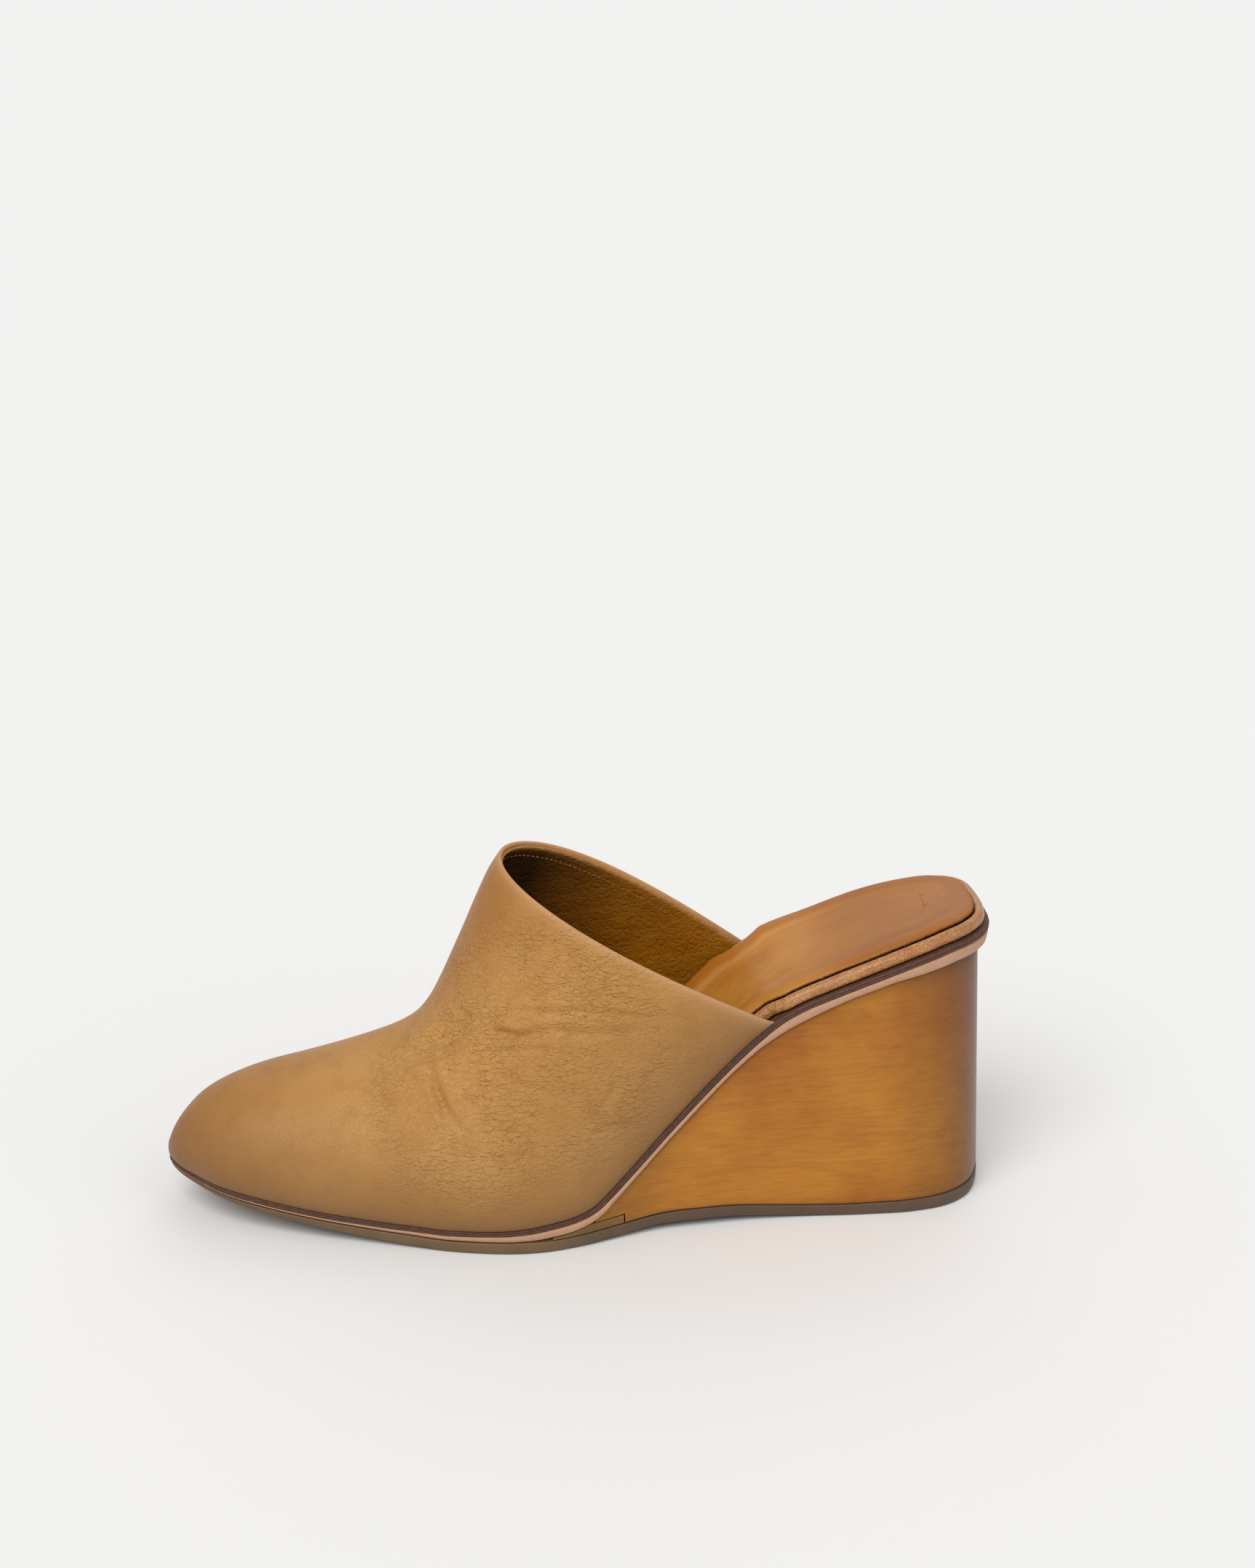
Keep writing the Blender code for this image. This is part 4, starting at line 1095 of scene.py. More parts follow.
class MULE_OT_upper(bpy.types.Operator):
    """Outer leather of the upper, with its folded topline and its creases"""

    bl_idname = "mule.upper"
    bl_label = "Upper"

    def execute(self, context):
        sizes, colours = context.scene.mule_sizes, context.scene.mule_colours
        turn = np.linspace(-1, 1, 2 * UPPER_TURNS + 1)
        edge = Outline(welt_loop(), UPPER_FOOT_INSET)
        front = edge.front / COLLAR_REACH
        share = np.interp(np.linspace(0, 1, UPPER_ROWS), *ROW_SPREAD)
        share = front + (1 - FOLD_SHARE - front) * share
        foot = upper_face(share, turn)
        normals = face_normals(foot)
        climbed = np.linalg.norm(foot - foot[:, :1], axis=2), np.linalg.norm(foot - foot[:, -1:], axis=2)
        height = np.minimum(*climbed)
        wall = UPPER_WALL - TUCK * np.exp(-height / TUCK_REACH)
        plain = foot + normals * wall[..., None]
        calm = np.minimum(1, (1 - np.abs(turn)) / 0.06)[None, :] * np.clip((share[-1] - share) / 0.03, 0, 1)[:, None]
        outer = plain + normals * (crease_field(foot) * calm)[..., None]
        inner = plain - normals * LEATHER
        ring = np.concatenate([outer, inner[:, ::-1]], axis=1)
        ahead = plain[-1] - plain[-2]
        ahead /= np.linalg.norm(ahead, axis=1)[:, None]
        arc = np.linspace(0, np.pi, 9)[:, None, None]
        radius = LEATHER / 2
        fold = outer[-1] + ahead * radius * np.sin(arc) - normals[-1] * radius * (1 - np.cos(arc))
        # Painted shade, strongest at the welt and fading up the side
        low = np.exp(-height / LOW_SHADE_REACH)
        toe = np.clip(1 - plain[..., 0] / TOE_REACH, 0, 1)
        toe = np.clip(toe + region(foot, REDDER), 0, 1)
        creased = region(foot, CREASED)
        rim = np.exp(-((1 - share) / RIM_SHARE))[:, None] + 0 * turn[None, :]
        both = lambda field: np.concatenate([field, field[:, ::-1]], axis=1)
        attributes = [
            (name, (both(field), np.repeat(field[-1:], len(fold), axis=0)))
            for name, field in (("creased", creased), ("low", low), ("toe", toe), ("rim", rim))
        ]
        mesh = grid_mesh("upper_leather", (ring, fold), attributes, (True, False))
        settle("upper_leather", mesh, upper_leather(colours, sizes), "upper_leather", "upper")
        return {"FINISHED"}


class MULE_OT_lining(bpy.types.Operator):
    """Lining inside the upper, its raw edge a little under the topline"""

    bl_idname = "mule.lining"
    bl_label = "Lining"

    def execute(self, context):
        sizes, colours = context.scene.mule_sizes, context.scene.mule_colours
        turn = np.linspace(-1, 1, 2 * LINING_TURNS + 1)
        edge = Outline(welt_loop(), UPPER_FOOT_INSET)
        front, end = edge.front / COLLAR_REACH, 1 - sizes.lining_step / TOPLINE_SPAN
        share = np.linspace(0, 1, LINING_ROWS)
        share = front + (end - front) * (0.5 * np.sin(np.pi / 2 * share) + 0.5 * share)
        plain = upper_face(share, turn)
        normals = face_normals(plain)
        ring = np.concatenate([
            plain + normals * (UPPER_WALL - LEATHER - LINING_GAP), plain[:, ::-1],
        ], axis=1)
        lip = np.stack([ring[-1, : len(turn)], ring[-1, len(turn):][::-1]])
        rim = np.exp(-((end - share) / 0.002))[:, None] + 0 * turn[None, :]
        # Painted shade inside the lining: full under the ridge, fading towards the welt and a little near the raw edge
        deep = np.clip((DEEP_SHADE_TO - np.abs(turn)) / DEEP_SHADE_RUN, 0, 1)[None, :] * (1 - 0.45 * rim ** 0.4)
        attributes = [
            ("rim", (np.concatenate([rim, rim], axis=1), np.ones((2, len(turn))))),
            ("deep", (np.concatenate([deep, deep], axis=1), 0 * lip[..., 0])),
        ]
        mesh = grid_mesh("upper_lining", (ring, lip), attributes, (True, False))
        settle("upper_lining", mesh, lining_leather(colours, sizes), "upper_leather", "upper")
        return {"FINISHED"}


def by_column(values, middle, under=0.0, over=0.0, medial=None):
    """A value for each point of a plate's ring, from the values of its profile's rows."""
    values = np.asarray(values, float)
    back = values if medial is None else np.asarray(medial, float)
    return np.concatenate([values, np.full(middle, under), back[::-1], np.full(middle, over)])


def plate_piece(name, sides, profile, place, finish, slot, nodes, middle=5, attributes=(), crown=0.0, sharp=60.0):
    """A sheet of the sole as a finished piece, which carries its strip coordinates."""
    rings, strip = plate_rings(sides, profile, place, middle)
    if crown:
        share = np.arange(1, middle + 1)[::-1] / (middle + 1)
        rings[:, -middle:, 2] += crown * np.sin(np.pi * share)
    carried = [("strip", (strip,))]
    carried += [(title, (np.repeat(column[None, :], len(rings), axis=0),)) for title, column in attributes]
    return settle(name, grid_mesh(name, (rings,), carried, True, sharp), finish, slot, *nodes)


def worn(amount, size, seed):
    """Uneven cutting of an edge, for each pair of edge points."""
    return amount * ragged(np.arange(SOLE_STEPS) * EDGE_STEP, size, seed)


class MULE_OT_insole(bpy.types.Operator):
    """Insole wrapped in pebbled leather, rolled at its edge and sunk where the sock lies"""

    bl_idname = "mule.insole"
    bl_label = "Insole"

    def execute(self, context):
        sizes, colours = context.scene.mule_sizes, context.scene.mule_colours
        thick = INSOLE_THICKNESS

        def margin(inner):
            return lambda x: np.maximum(sock_inset(x) - insole_inset(x) + inner, 0.0005 + inner / 10)

        profile = [
            (margin(0.0030), thick * 0.80),
            (margin(0.0002), thick * 0.80),
            (margin(-0.0001), thick * 0.96),
            (margin(-0.0004), thick * 1.16),
            (margin(-0.0010), thick * 1.26),
            (0.0009, thick * 1.22),
            (0.0002, thick * 1.08),
            (-0.0003, thick * 0.84),
            (-0.00045, thick * 0.56),
            (-0.0003, thick * 0.28),
            (0.0001, thick * 0.10),
            (0.0009, 0.0),
            (0.0040, 0.0),
        ]
        profile = [(inset, CLEARANCE + level) for inset, level in profile]
        groove = by_column([1, 1, 0.8, 0.1] + [0] * 9, 5, 0.0, 1.0)
        sides = halves(welt_loop(), SOLE_STEPS, inset=insole_inset)
        plate_piece(
            "insole_wrap", sides, profile, off_welt_face, rim_leather(colours, sizes), "rim_leather", ("insole",),
            attributes=(("groove", groove),),
        )
        return {"FINISHED"}


class MULE_OT_sock(bpy.types.Operator):
    """Padded sock with a raw cut edge, a soft lip and a dished foot bed"""

    bl_idname = "mule.sock"
    bl_label = "Sock"

    def execute(self, context):
        sizes, colours = context.scene.mule_sizes, context.scene.mule_colours
        thick, lip, seat = SOCK_THICKNESS, SOCK_LIP, 2 * CLEARANCE + INSOLE_THICKNESS
        wave = worn(0.00012, 0.0009, 5)
        rows = (
            (DISH_WIDTH + 0.002, thick, 0.0), (DISH_WIDTH, thick + lip * 0.02, 0.0),
            (0.0092, thick + lip * 0.14, 0.1), (0.0077, thick + lip * 0.36, 0.3), (0.0064, thick + lip * 0.62, 0.6),
            (0.0052, thick + lip * 0.84, 0.9), (0.0041, thick + lip * 0.97, 1.0), (0.0030, thick + lip * 0.98, 1.0),
            (0.0020, thick + lip * 0.82, 0.9), (0.0011, thick + lip * 0.55, 0.7), (0.0005, thick + lip * 0.30, 0.5),
            (0.0001, thick + lip * 0.02, 0.5), (0.0, thick * 0.7, 0.5), (0.0, thick * 0.3, 0.5),
            (0.0003, 0.0, 0.5), (0.0040, 0.0, 0.0),
        )
        profile = [(inset + (wave if inset < 0.0006 else 0), seat + level) for inset, level, _ in rows]
        band = [shade for _, _, shade in rows]
        insets = np.array([inset for inset, _, _ in rows])
        cut = by_column([0] * 10 + [0, 0.12, 0.7, 1, 1, 0], 9)
        margin = by_column([0.55 * v for v in band], 9, medial=band)
        # Painted highlight: a pale line along the inner slope of the medial lip
        line = by_column([0] * 16, 9, medial=np.exp(-(((insets - 0.0072) / 0.0009) ** 2)))

        def lifted(x, y, level):
            medial = np.clip((y - FLARE_FROM_SIDE) / FLARE_SIDE_RUN, 0, 1) ** 2
            flare = SOCK_FLARE * np.exp(-(((x - FLARE_AT) / FLARE_RUN) ** 2)) * medial
            return off_welt_face(x, y, level + flare * (level > seat + thick * 0.5))

        sides = halves(welt_loop(), SOLE_STEPS, inset=sock_inset)
        piece = plate_piece(
            "sock_pad", sides, profile, lifted, sock_leather(colours, sizes), "sock_leather", ("sock",), middle=9,
            attributes=(("cut", cut), ("margin", margin), ("line", line)), crown=-0.0003,
        )
        return {"FINISHED"}


class MULE_OT_welt(bpy.types.Operator):
    """Dark raw-edged welt of two plies, its edge a little ragged"""

    bl_idname = "mule.welt"
    bl_label = "Welt"

    def execute(self, context):
        colours = context.scene.mule_colours

        def at(share):
            return lambda x: share * welt_underside(x)

        profile = [
            (0.0060, at(0.0)), (0.0007, at(0.0)), (0.0003, at(0.04)), (0.0001 + worn(0.00005, 0.002, 1), at(0.14)),
            (worn(0.00006, 0.0014, 2), at(0.30)), (worn(0.00006, 0.0011, 3), at(0.44)),
            (0.00022, at(0.52)),
            (worn(0.00006, 0.0013, 4), at(0.60)), (worn(0.00008, 0.0017, 5), at(0.80)),
            (0.0001 + worn(0.00005, 0.002, 6), at(0.93)), (0.0004, at(1.0)), (0.0060, at(1.0)),
        ]
        finish = raw_edge(
            "dark_welt", colours.welt, colours.welt_light, colours.welt_fleck, 0.8, 0.00022, 0.5,
        )
        plate_piece(
            "welt_strip", halves(welt_loop(), SOLE_STEPS), profile, off_welt_face, finish, "welt_leather", ("welt",),
            sharp=75.0,
        )
        return {"FINISHED"}


class MULE_OT_midsole(bpy.types.Operator):
    """Pale leather midsole with a matt cut edge"""

    bl_idname = "mule.midsole"
    bl_label = "Midsole"

    def execute(self, context):
        colours = context.scene.mule_colours

        def at(share):
            return lambda x: (
                (1 - share) * (welt_underside(x) - CLEARANCE) + share * midsole_underside(x)
            )

        profile = [
            (0.0060, at(0.0)), (0.0002, at(0.0)), (0.00002, at(0.06)), (worn(0.00003, 0.004, 7), at(0.3)),
            (0.00015 + worn(0.00003, 0.003, 8), at(0.6)), (0.0004, at(0.88)), (0.0007, at(1.0)), (0.0060, at(1.0)),
        ]
        finish = raw_edge(
            "pale_midsole", colours.midsole, colours.midsole_light, colours.wood_dark, 0.25, 0.00006, 0.62,
        )
        sides = halves(welt_loop(), SOLE_STEPS, inset=MIDSOLE_INSET)
        plate_piece("midsole_layer", sides, profile, off_welt_face, finish, "midsole_leather", ("midsole",))
        return {"FINISHED"}


class MULE_OT_outsole(bpy.types.Operator):
    """Rubber outsole with a rounded lower edge and a shallow border groove underneath"""

    bl_idname = "mule.outsole"
    bl_label = "Outsole"

    def execute(self, context):
        sizes, colours = context.scene.mule_sizes, context.scene.mule_colours
        groove = GROOVE_INSET
        profile = [
            (0.0060, 1.0), (0.0003, 1.0), (0.00006, 0.95), (0.0, 0.86), (worn(0.00003, 0.003, 9), 0.55),
            (0.00002, 0.30), (0.00014, 0.14), (0.0004, 0.03), (0.0008, 0.0), (groove - 0.0003, 0.0),
            (groove, 0.07), (groove + 0.0006, 0.07), (groove + 0.0009, 0.0),
        ]
        sides = halves(tread_loop(), SOLE_STEPS, inset=MIDSOLE_INSET)
        rings, strip = plate_rings(sides, profile, in_tread, 9)
        heel = np.clip((rings[..., 0] - HEEL_TINT_FROM) / HEEL_TINT_RUN, 0, 1)
        mesh = grid_mesh("outsole_tread", (rings,), [("strip", (strip,)), ("heel", (heel,))])
        settle("outsole_tread", mesh, tread_rubber(colours, sizes), "tread_rubber", "outsole")
        return {"FINISHED"}


class MULE_OT_filler(bpy.types.Operator):
    """Thin rand between outsole and midsole, its end butted against the wedge"""

    bl_idname = "mule.filler"
    bl_label = "Wedge filler"

    def execute(self, context):
        colours = context.scene.mule_colours
        edge = Outline(tread_loop(), WEDGE_BASE_INSET)
        front = first_place(lambda x: filler_top(x) - outsole_top(x) - CLEARANCE)
        along = np.linspace(front, FILLER_NOTCH, 40)
        top, low = filler_top(along), outsole_top(along) + CLEARANCE
        rows = ((0.0040, 1.0), (0.0003, 1.0), (0.00008, 0.93), (0.0, 0.75), (0.0, 0.25), (0.0001, 0.05), (0.0040, 0.0))
        ring = [
            np.stack([along, side(along) + turn * inset, low + (top - low) * share], axis=1)
            for side, turn, order in ((edge.lateral, 1, rows), (edge.medial, -1, rows[::-1]))
            for inset, share in order
        ]
        finish = plain_finish("olive_filler", colours.filler, colours.filler_dark, 90, 0.00005, 0.42)
        settle("filler_rand", grid_mesh("filler_rand", (np.stack(ring, axis=1),)), finish, "filler", "wedge_filler")
        return {"FINISHED"}


class MULE_OT_wedge(bpy.types.Operator):
    """Varnished wooden wedge, round at the back, thin where it laps over the filler"""

    bl_idname = "mule.wedge"
    bl_label = "Wedge"

    def execute(self, context):
        sizes, colours = context.scene.mule_sizes, context.scene.mule_colours

        def inset(x):
            rear = np.clip((x / SHOE_LENGTH - WEDGE_BACK_FROM) / (1 - WEDGE_BACK_FROM), 0, 1)
            return WEDGE_SIDE_INSET + (WEDGE_BACK_INSET - WEDGE_SIDE_INSET) * rear

        front = first_place(lambda x: midsole_bottom(x) - filler_top(x) - 2 * CLEARANCE)
        step = FILLER_NOTCH + CLEARANCE
        lap = np.linspace(front, step, 12)
        top_edge, low_edge = Outline(welt_loop(), inset), Outline(tread_loop(), WEDGE_BASE_INSET)
        high = halves(welt_loop(), WEDGE_STEPS, step + STEP_RUN, inset)
        foot = halves(tread_loop(), WEDGE_STEPS, step + STEP_RUN, WEDGE_BASE_INSET)
        levels = np.concatenate([[0, 0.006], np.linspace(0.02, 0.98, 16), [0.994, 1.0]])
        rounding = np.interp(levels, (0, 0.02, 0.98, 1), (0.0004, 0, 0, 0.0004))
        columns = []
        for which, turn in ((0, 1), (1, -1)):
            side = []
            lap_top = (top_edge.lateral if which == 0 else top_edge.medial)(lap)
            lap_low = (low_edge.lateral if which == 0 else low_edge.medial)(lap)
            high_xy, lean, _ = high[which]
            foot_xy, _, _ = foot[which]
            for level, pull in zip(levels, rounding):
                y = lap_top + (lap_low - lap_top) * level + turn * pull
                z_high, z_low = midsole_bottom(lap) - CLEARANCE, filler_top(lap) + CLEARANCE
                ahead = np.stack([lap, y, z_high + (z_low - z_high) * level], axis=1)
                plan = high_xy + (foot_xy - high_xy) * level + lean * pull
                z_high = midsole_bottom(high_xy[:, 0]) - CLEARANCE
                z_low = outsole_top(foot_xy[:, 0]) + CLEARANCE
                body = np.concatenate([plan, (z_high + (z_low - z_high) * level)[:, None]], axis=1)
                side.append(np.concatenate([ahead, body]))
            columns.append(side)
        ring = np.stack(columns[0] + columns[1][::-1], axis=1)
        share = np.concatenate([levels, levels[::-1]])[None, :]
        # Painted shade on the wood, at the round back, the thin front and along the top and bottom edges
        back = np.clip((ring[..., 0] - BACK_SHADE_FROM) / BACK_SHADE_RUN, 0, 1) ** 1.6
        thin = np.clip((FRONT_SHADE_TO - ring[..., 0]) / FRONT_SHADE_RUN, 0, 1) * 0.6
        edge_shade = np.exp(-share / 0.04) * 0.4 + np.exp(-(1 - share) / 0.02) * 0.25
        shade = np.clip(0.9 * back + thin + edge_shade, 0, 1)
        mesh = grid_mesh("wedge_block", (ring,), [("shade", (shade,))], sharp=50.0)
        settle("wedge_block", mesh, wedge_wood(colours, sizes), "wedge_wood", "wedge")
        return {"FINISHED"}


def rule_tree(name, numbers):
    """An empty geometry tree with its geometry sockets and named number inputs."""
    tree = bpy.data.node_groups.new(name, "GeometryNodeTree")
    tree.interface.new_socket("Geometry", in_out="INPUT", socket_type="NodeSocketGeometry")
    tree.interface.new_socket("Geometry", in_out="OUTPUT", socket_type="NodeSocketGeometry")
    for title, kind in numbers:
        tree.interface.new_socket(title, in_out="INPUT", socket_type=f"NodeSocket{kind}")
    return tree, tree.nodes.new("NodeGroupInput"), tree.nodes.new("NodeGroupOutput")


def node(tree, kind, settings=(), **inputs):
    """A node of a geometry tree. An input that is a socket is linked."""
    made = tree.nodes.new(kind)
    for key, value in dict(settings).items():
        setattr(made, key, value)
    for key, value in inputs.items():
        socket = next(s for s in made.inputs if s.name == key.replace("_", " ") and s.enabled)
        if isinstance(value, bpy.types.NodeSocket):
            tree.links.new(value, socket)
        else:
            socket.default_value = value
    return made


def close_tree(tree, shapes, finish, end):
    """Ends a tree in realized instances with their finish."""
    real = node(tree, "GeometryNodeRealizeInstances", Geometry=shapes)
    painted = node(tree, "GeometryNodeSetMaterial", Geometry=real.outputs[0], Material=finish)
    tree.links.new(painted.outputs[0], end.inputs[0])


def stitch_tree(finish):
    """Stitches lie along a line: rounded, each along the line, some a little longer."""
    tree, given, end = rule_tree(
        "stitch_row", (("Pitch", "Float"), ("Length", "Float"), ("Width", "Float"), ("Seed", "Int")),
    )
    curve = node(tree, "GeometryNodeMeshToCurve", Mesh=given.outputs["Geometry"])
    spots = node(
        tree, "GeometryNodeResampleCurve", {"mode": "LENGTH"}, Curve=curve.outputs[0], Length=given.outputs["Pitch"],
    )
    stitch = node(tree, "GeometryNodeMeshUVSphere", Segments=8, Rings=6, Radius=0.5)
    size = node(
        tree, "ShaderNodeCombineXYZ", X=given.outputs["Length"], Y=given.outputs["Width"], Z=given.outputs["Width"],
    )
    shaped = node(tree, "GeometryNodeTransform", Geometry=stitch.outputs[0], Scale=size.outputs[0])
    tangent = node(tree, "GeometryNodeInputTangent")
    turned = node(tree, "FunctionNodeAlignRotationToVector", {"axis": "X"}, Vector=tangent.outputs[0])
    uneven = node(
        tree, "FunctionNodeRandomValue", {"data_type": "FLOAT"}, Min=0.85, Max=1.1, Seed=given.outputs["Seed"],
    )
    value = next(s for s in uneven.outputs if s.enabled)
    laid = node(
        tree, "GeometryNodeInstanceOnPoints", Points=spots.outputs[0], Instance=shaped.outputs[0],
        Rotation=turned.outputs[0], Scale=value,
    )
    close_tree(tree, laid.outputs[0], finish, end)
    return tree


def fibre_tree(finish):
    """Loose fibres stand along a line, each a thin bent thread that leans its own way."""
    tree, given, end = rule_tree(
        "loose_fibres", (("Count", "Int"), ("Length", "Float"), ("Width", "Float"), ("Seed", "Int")),
    )
    curve = node(tree, "GeometryNodeMeshToCurve", Mesh=given.outputs["Geometry"])
    spots = node(
        tree, "GeometryNodeResampleCurve", {"mode": "COUNT"}, Curve=curve.outputs[0], Count=given.outputs["Count"],
    )
    bent = node(
        tree, "GeometryNodeCurveQuadraticBezier", Resolution=5,
        Start=(0, 0, 0), Middle=(0.1, 0.1, 0.6), End=(0.45, 0.2, 0.9),
    )
    scaled = node(tree, "GeometryNodeTransform", Geometry=bent.outputs[0], Scale=(1, 1, 1))
    size = node(
        tree, "ShaderNodeCombineXYZ", X=given.outputs["Length"], Y=given.outputs["Length"], Z=given.outputs["Length"],
    )
    tree.links.new(size.outputs[0], scaled.inputs["Scale"])
    thread = node(tree, "GeometryNodeCurvePrimitiveCircle", Resolution=4, Radius=given.outputs["Width"])
    tube = node(
        tree, "GeometryNodeCurveToMesh", Curve=scaled.outputs[0], Profile_Curve=thread.outputs[0], Fill_Caps=True,
    )
    lean = node(
        tree, "FunctionNodeRandomValue", {"data_type": "FLOAT_VECTOR"}, Min=(-0.9, -0.9, 0.0), Max=(0.9, 0.9, 6.28),
        Seed=given.outputs["Seed"],
    )
    size_by = node(
        tree, "FunctionNodeRandomValue", {"data_type": "FLOAT"}, Min=0.3, Max=1.0, Seed=given.outputs["Seed"],
    )
    laid = node(
        tree, "GeometryNodeInstanceOnPoints", Points=spots.outputs[0], Instance=tube.outputs[0],
        Rotation=next(s for s in lean.outputs if s.enabled), Scale=next(s for s in size_by.outputs if s.enabled),
    )
    close_tree(tree, laid.outputs[0], finish, end)
    return tree


def grown(name, path, tree, values):
    """The plain mesh that a tree grows along a path of points."""
    line = bpy.data.meshes.new(name)
    line.from_pydata((path + TOE_TIP).tolist(), [(i, i + 1) for i in range(len(path) - 1)], [])
    host = bpy.data.objects.new(f"{name}_path", line)
    bpy.context.scene.collection.objects.link(host)
    rule = host.modifiers.new("rule", "NODES")
    rule.node_group = tree
    for item in tree.interface.items_tree:
        if item.in_out == "INPUT" and item.name in values:
            rule[item.identifier] = values[item.name]
    graph = bpy.context.evaluated_depsgraph_get()
    mesh = bpy.data.meshes.new_from_object(host.evaluated_get(graph))
    bpy.data.objects.remove(host)
    mesh.name = name
    mesh.materials.clear()
    mesh.shade_smooth()
    return mesh


def inside_line(under, depth, turns):
    """A line round the inside of the collar, that far under the topline and that far in from the lining's face."""
    shares = np.array([1 - under / TOPLINE_SPAN - 0.004, 1 - under / TOPLINE_SPAN])
    points = upper_face(np.concatenate([[0.9], shares]), turns)
    return (points - face_normals(points) * depth)[-1]


class MULE_OT_stitches(bpy.types.Operator):
    """Row of stitches round the inside of the collar"""

    bl_idname = "mule.stitches"
    bl_label = "Stitches"

    def execute(self, context):
        sizes, colours = context.scene.mule_sizes, context.scene.mule_colours
        finish = plain_finish("thread", colours.thread, colours.lining_light, 900, 0.00003, 0.55)
        path = inside_line(sizes.stitch_step, 0.00002, np.linspace(-0.93, 0.93, 360))
        values = {
            "Pitch": sizes.stitch_pitch, "Length": sizes.stitch_length, "Width": sizes.thread_width, "Seed": 3,
        }
        mesh = grown("collar_stitches", path, stitch_tree(finish), values)
        settle("collar_stitches", mesh, finish, "upper_leather", "upper")
        return {"FINISHED"}


class MULE_OT_fibres(bpy.types.Operator):
    """Loose fibres along the lining's raw edge"""

    bl_idname = "mule.fibres"
    bl_label = "Loose fibres"

    def execute(self, context):
        sizes, colours = context.scene.mule_sizes, context.scene.mule_colours
        finish = plain_finish("pale_fibre", colours.upper_rim, colours.midsole_light, 900, 0.00001, 0.7)
        path = inside_line(sizes.lining_step, -0.0002, np.linspace(-0.9, 0.9, 200))
        values = {"Count": sizes.fibre_count, "Length": 0.0011, "Width": 0.00003, "Seed": 11}
        mesh = grown("lining_fibres", path, fibre_tree(finish), values)
        settle("lining_fibres", mesh, finish, "upper_leather", "upper")
        return {"FINISHED"}


class MULE_OT_stage(bpy.types.Operator):
    """Pale floor, soft studio light and the camera at the photograph's angle"""

    bl_idname = "mule.stage"
    bl_label = "Stage"

    def execute(self, context):
        colours = context.scene.mule_colours
        mesh = bpy.data.meshes.new("floor")
        corners = [(x * FLOOR_REACH, y * FLOOR_REACH, FLOOR_DROP) for x, y in ((-1, -1), (1, -1), (1, 1), (-1, 1))]
        mesh.from_pydata(corners, [], [(0, 1, 2, 3)])
        floor = bpy.data.objects.new("floor", mesh)
        context.scene.collection.objects.link(floor)
        mesh.materials.append(plain_finish("pale_floor", colours.floor, colours.floor, 3, 0.0, 0.75))
        for name, place, spread, strength, tint in LAMPS:
            lamp = bpy.data.lights.new(name, "SUN")
            lamp.angle, lamp.energy, lamp.color = np.radians(spread), strength, tint
            holder = bpy.data.objects.new(name, lamp)
            context.scene.collection.objects.link(holder)
            holder.matrix_world = looking(np.array(place), np.array(LIGHT_TARGET), 0.0)
        context.scene.view_settings.view_transform = "Standard"
        world = bpy.data.worlds.new("studio")
        context.scene.world = world
        world.use_nodes = True
        sky = world.node_tree.nodes["Background"]
        sky.inputs["Color"].default_value = (*SKY_TINT, 1.0)
        sky.inputs["Strength"].default_value = SKY_STRENGTH
        rise, turn, look = np.radians(CAMERA_RISE), np.radians(CAMERA_TURN), np.array(CAMERA_LOOK)
        back = np.array([-np.sin(turn) * np.cos(rise), -np.cos(turn) * np.cos(rise), np.sin(rise)])
        lens = bpy.data.cameras.new("camera")
        lens.sensor_width, lens.lens = SENSOR, SENSOR * FOCAL_PIXELS / PHOTO_SIZE[1]
        lens.shift_x = (PHOTO_SIZE[0] / 2 - CAMERA_CENTRE[0]) / PHOTO_SIZE[1]
        lens.shift_y = (CAMERA_CENTRE[1] - PHOTO_SIZE[1] / 2) / PHOTO_SIZE[1]
        lens.clip_start = 0.01
        eye = bpy.data.objects.new("camera", lens)
        context.scene.collection.objects.link(eye)
        eye.matrix_world = looking(look + back * CAMERA_DISTANCE, look, CAMERA_ROLL)
        context.scene.camera = eye
        return {"FINISHED"}


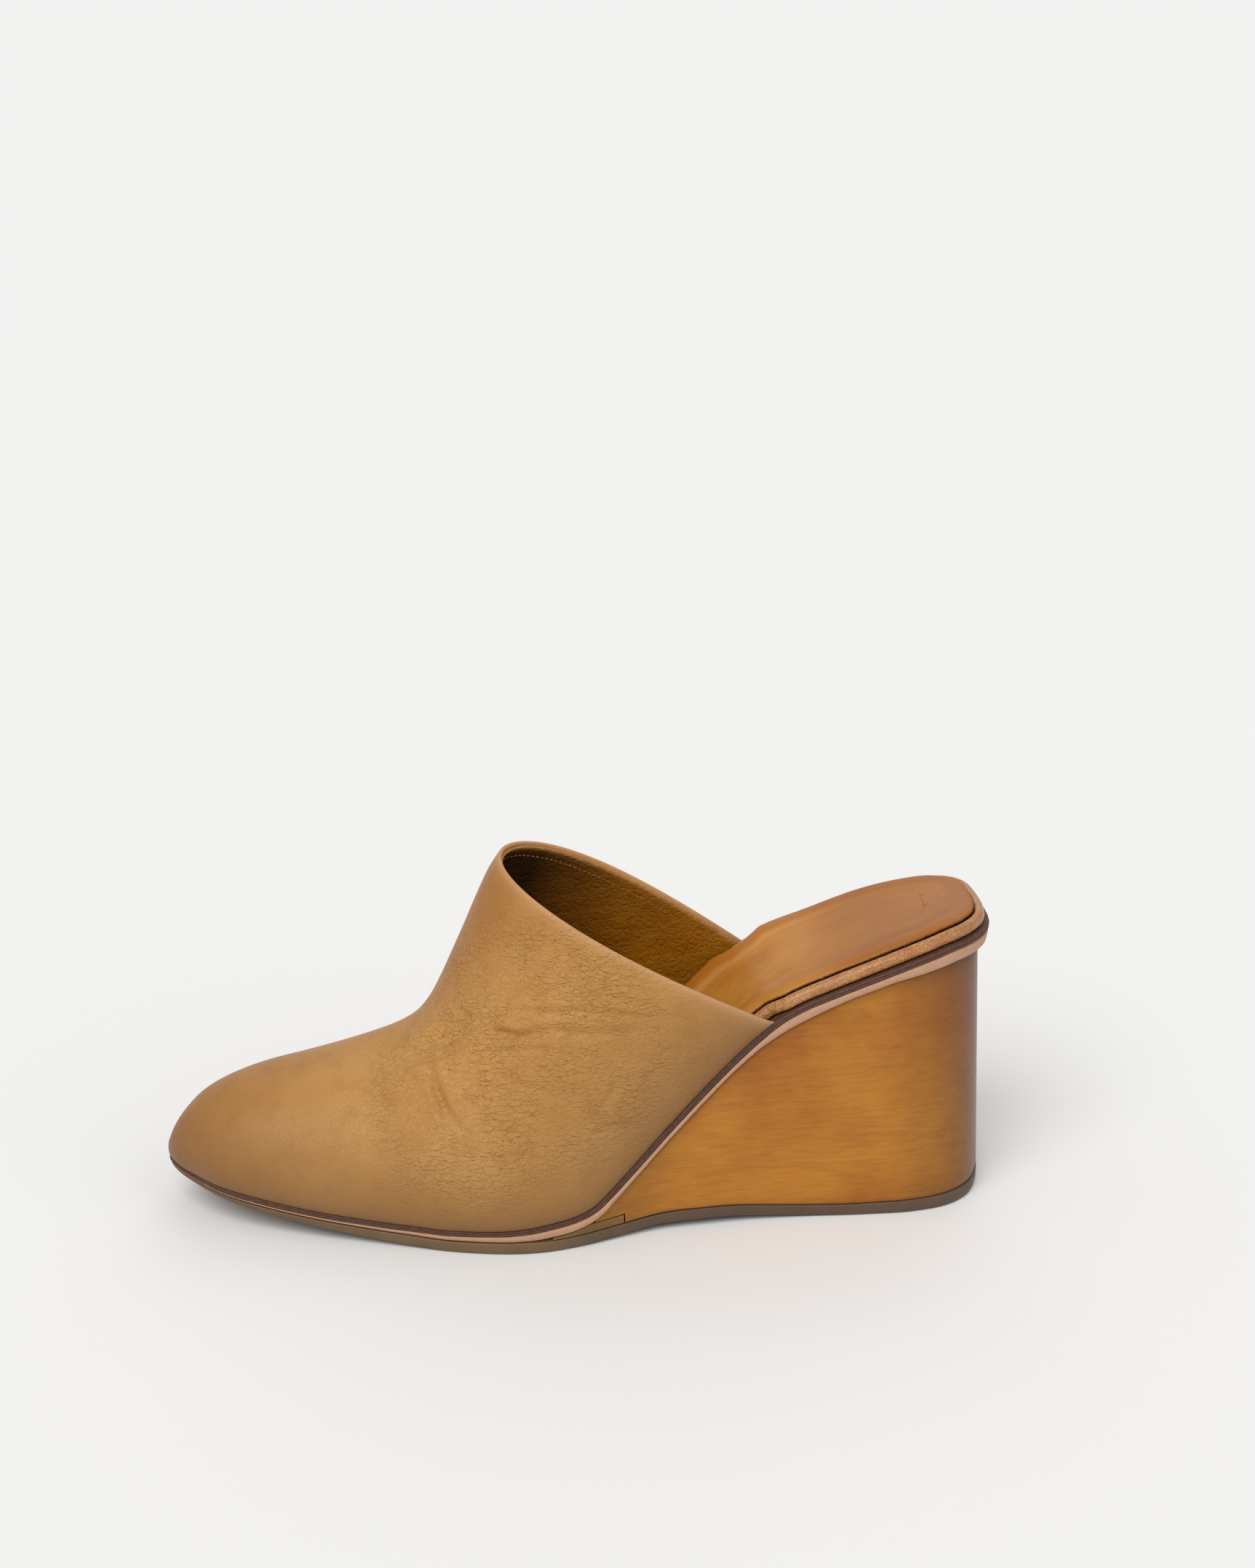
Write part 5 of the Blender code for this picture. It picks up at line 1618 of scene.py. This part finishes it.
def looking(place, target, roll):
    """The place and turn of a lamp or camera that looks at a target. Roll in degrees lifts the picture's right."""
    ahead = (target - place) / np.linalg.norm(target - place)
    right = np.cross(ahead, (0, 0, 1))
    right /= np.linalg.norm(right)
    up = np.cross(right, ahead)
    lean = np.radians(roll)
    right, up = np.cos(lean) * right - np.sin(lean) * up, np.sin(lean) * right + np.cos(lean) * up
    turned = np.eye(4)
    turned[:3, :4] = np.stack([right, up, -ahead, place], axis=1)
    return Matrix(turned.tolist())


class MULE_PT_panel(bpy.types.Panel):
    """Lists the pieces, their sizes and their colours"""

    bl_idname = "MULE_PT_panel"
    bl_label = "Wedge mule"
    bl_space_type = "VIEW_3D"
    bl_region_type = "UI"
    bl_category = "Mule"

    def draw(self, context):
        column = self.layout.column()
        for group in (context.scene.mule_sizes, context.scene.mule_colours):
            for name in group.__annotations__:
                column.prop(group, name)
        for operator in OPERATORS:
            column.operator(operator.bl_idname)


OPERATORS = (
    MULE_OT_outsole, MULE_OT_filler, MULE_OT_wedge, MULE_OT_midsole, MULE_OT_welt, MULE_OT_insole, MULE_OT_sock,
    MULE_OT_upper, MULE_OT_lining, MULE_OT_stitches, MULE_OT_fibres, MULE_OT_stage,
)
CLASSES = (MuleSizes, MuleColours, *OPERATORS, MULE_PT_panel)


def register():
    for kind in CLASSES:
        bpy.utils.register_class(kind)
    bpy.types.Scene.mule_sizes = PointerProperty(type=MuleSizes)
    bpy.types.Scene.mule_colours = PointerProperty(type=MuleColours)


def unregister():
    del bpy.types.Scene.mule_colours
    del bpy.types.Scene.mule_sizes
    for kind in reversed(CLASSES):
        bpy.utils.unregister_class(kind)


def main():
    register()
    bpy.ops.mule.outsole()
    bpy.ops.mule.filler()
    bpy.ops.mule.wedge()
    bpy.ops.mule.midsole()
    bpy.ops.mule.welt()
    bpy.ops.mule.insole()
    bpy.ops.mule.sock()
    bpy.ops.mule.upper()
    bpy.ops.mule.lining()
    bpy.ops.mule.stitches()
    bpy.ops.mule.fibres()
    bpy.ops.mule.stage()


if __name__ == "__main__":
    main()
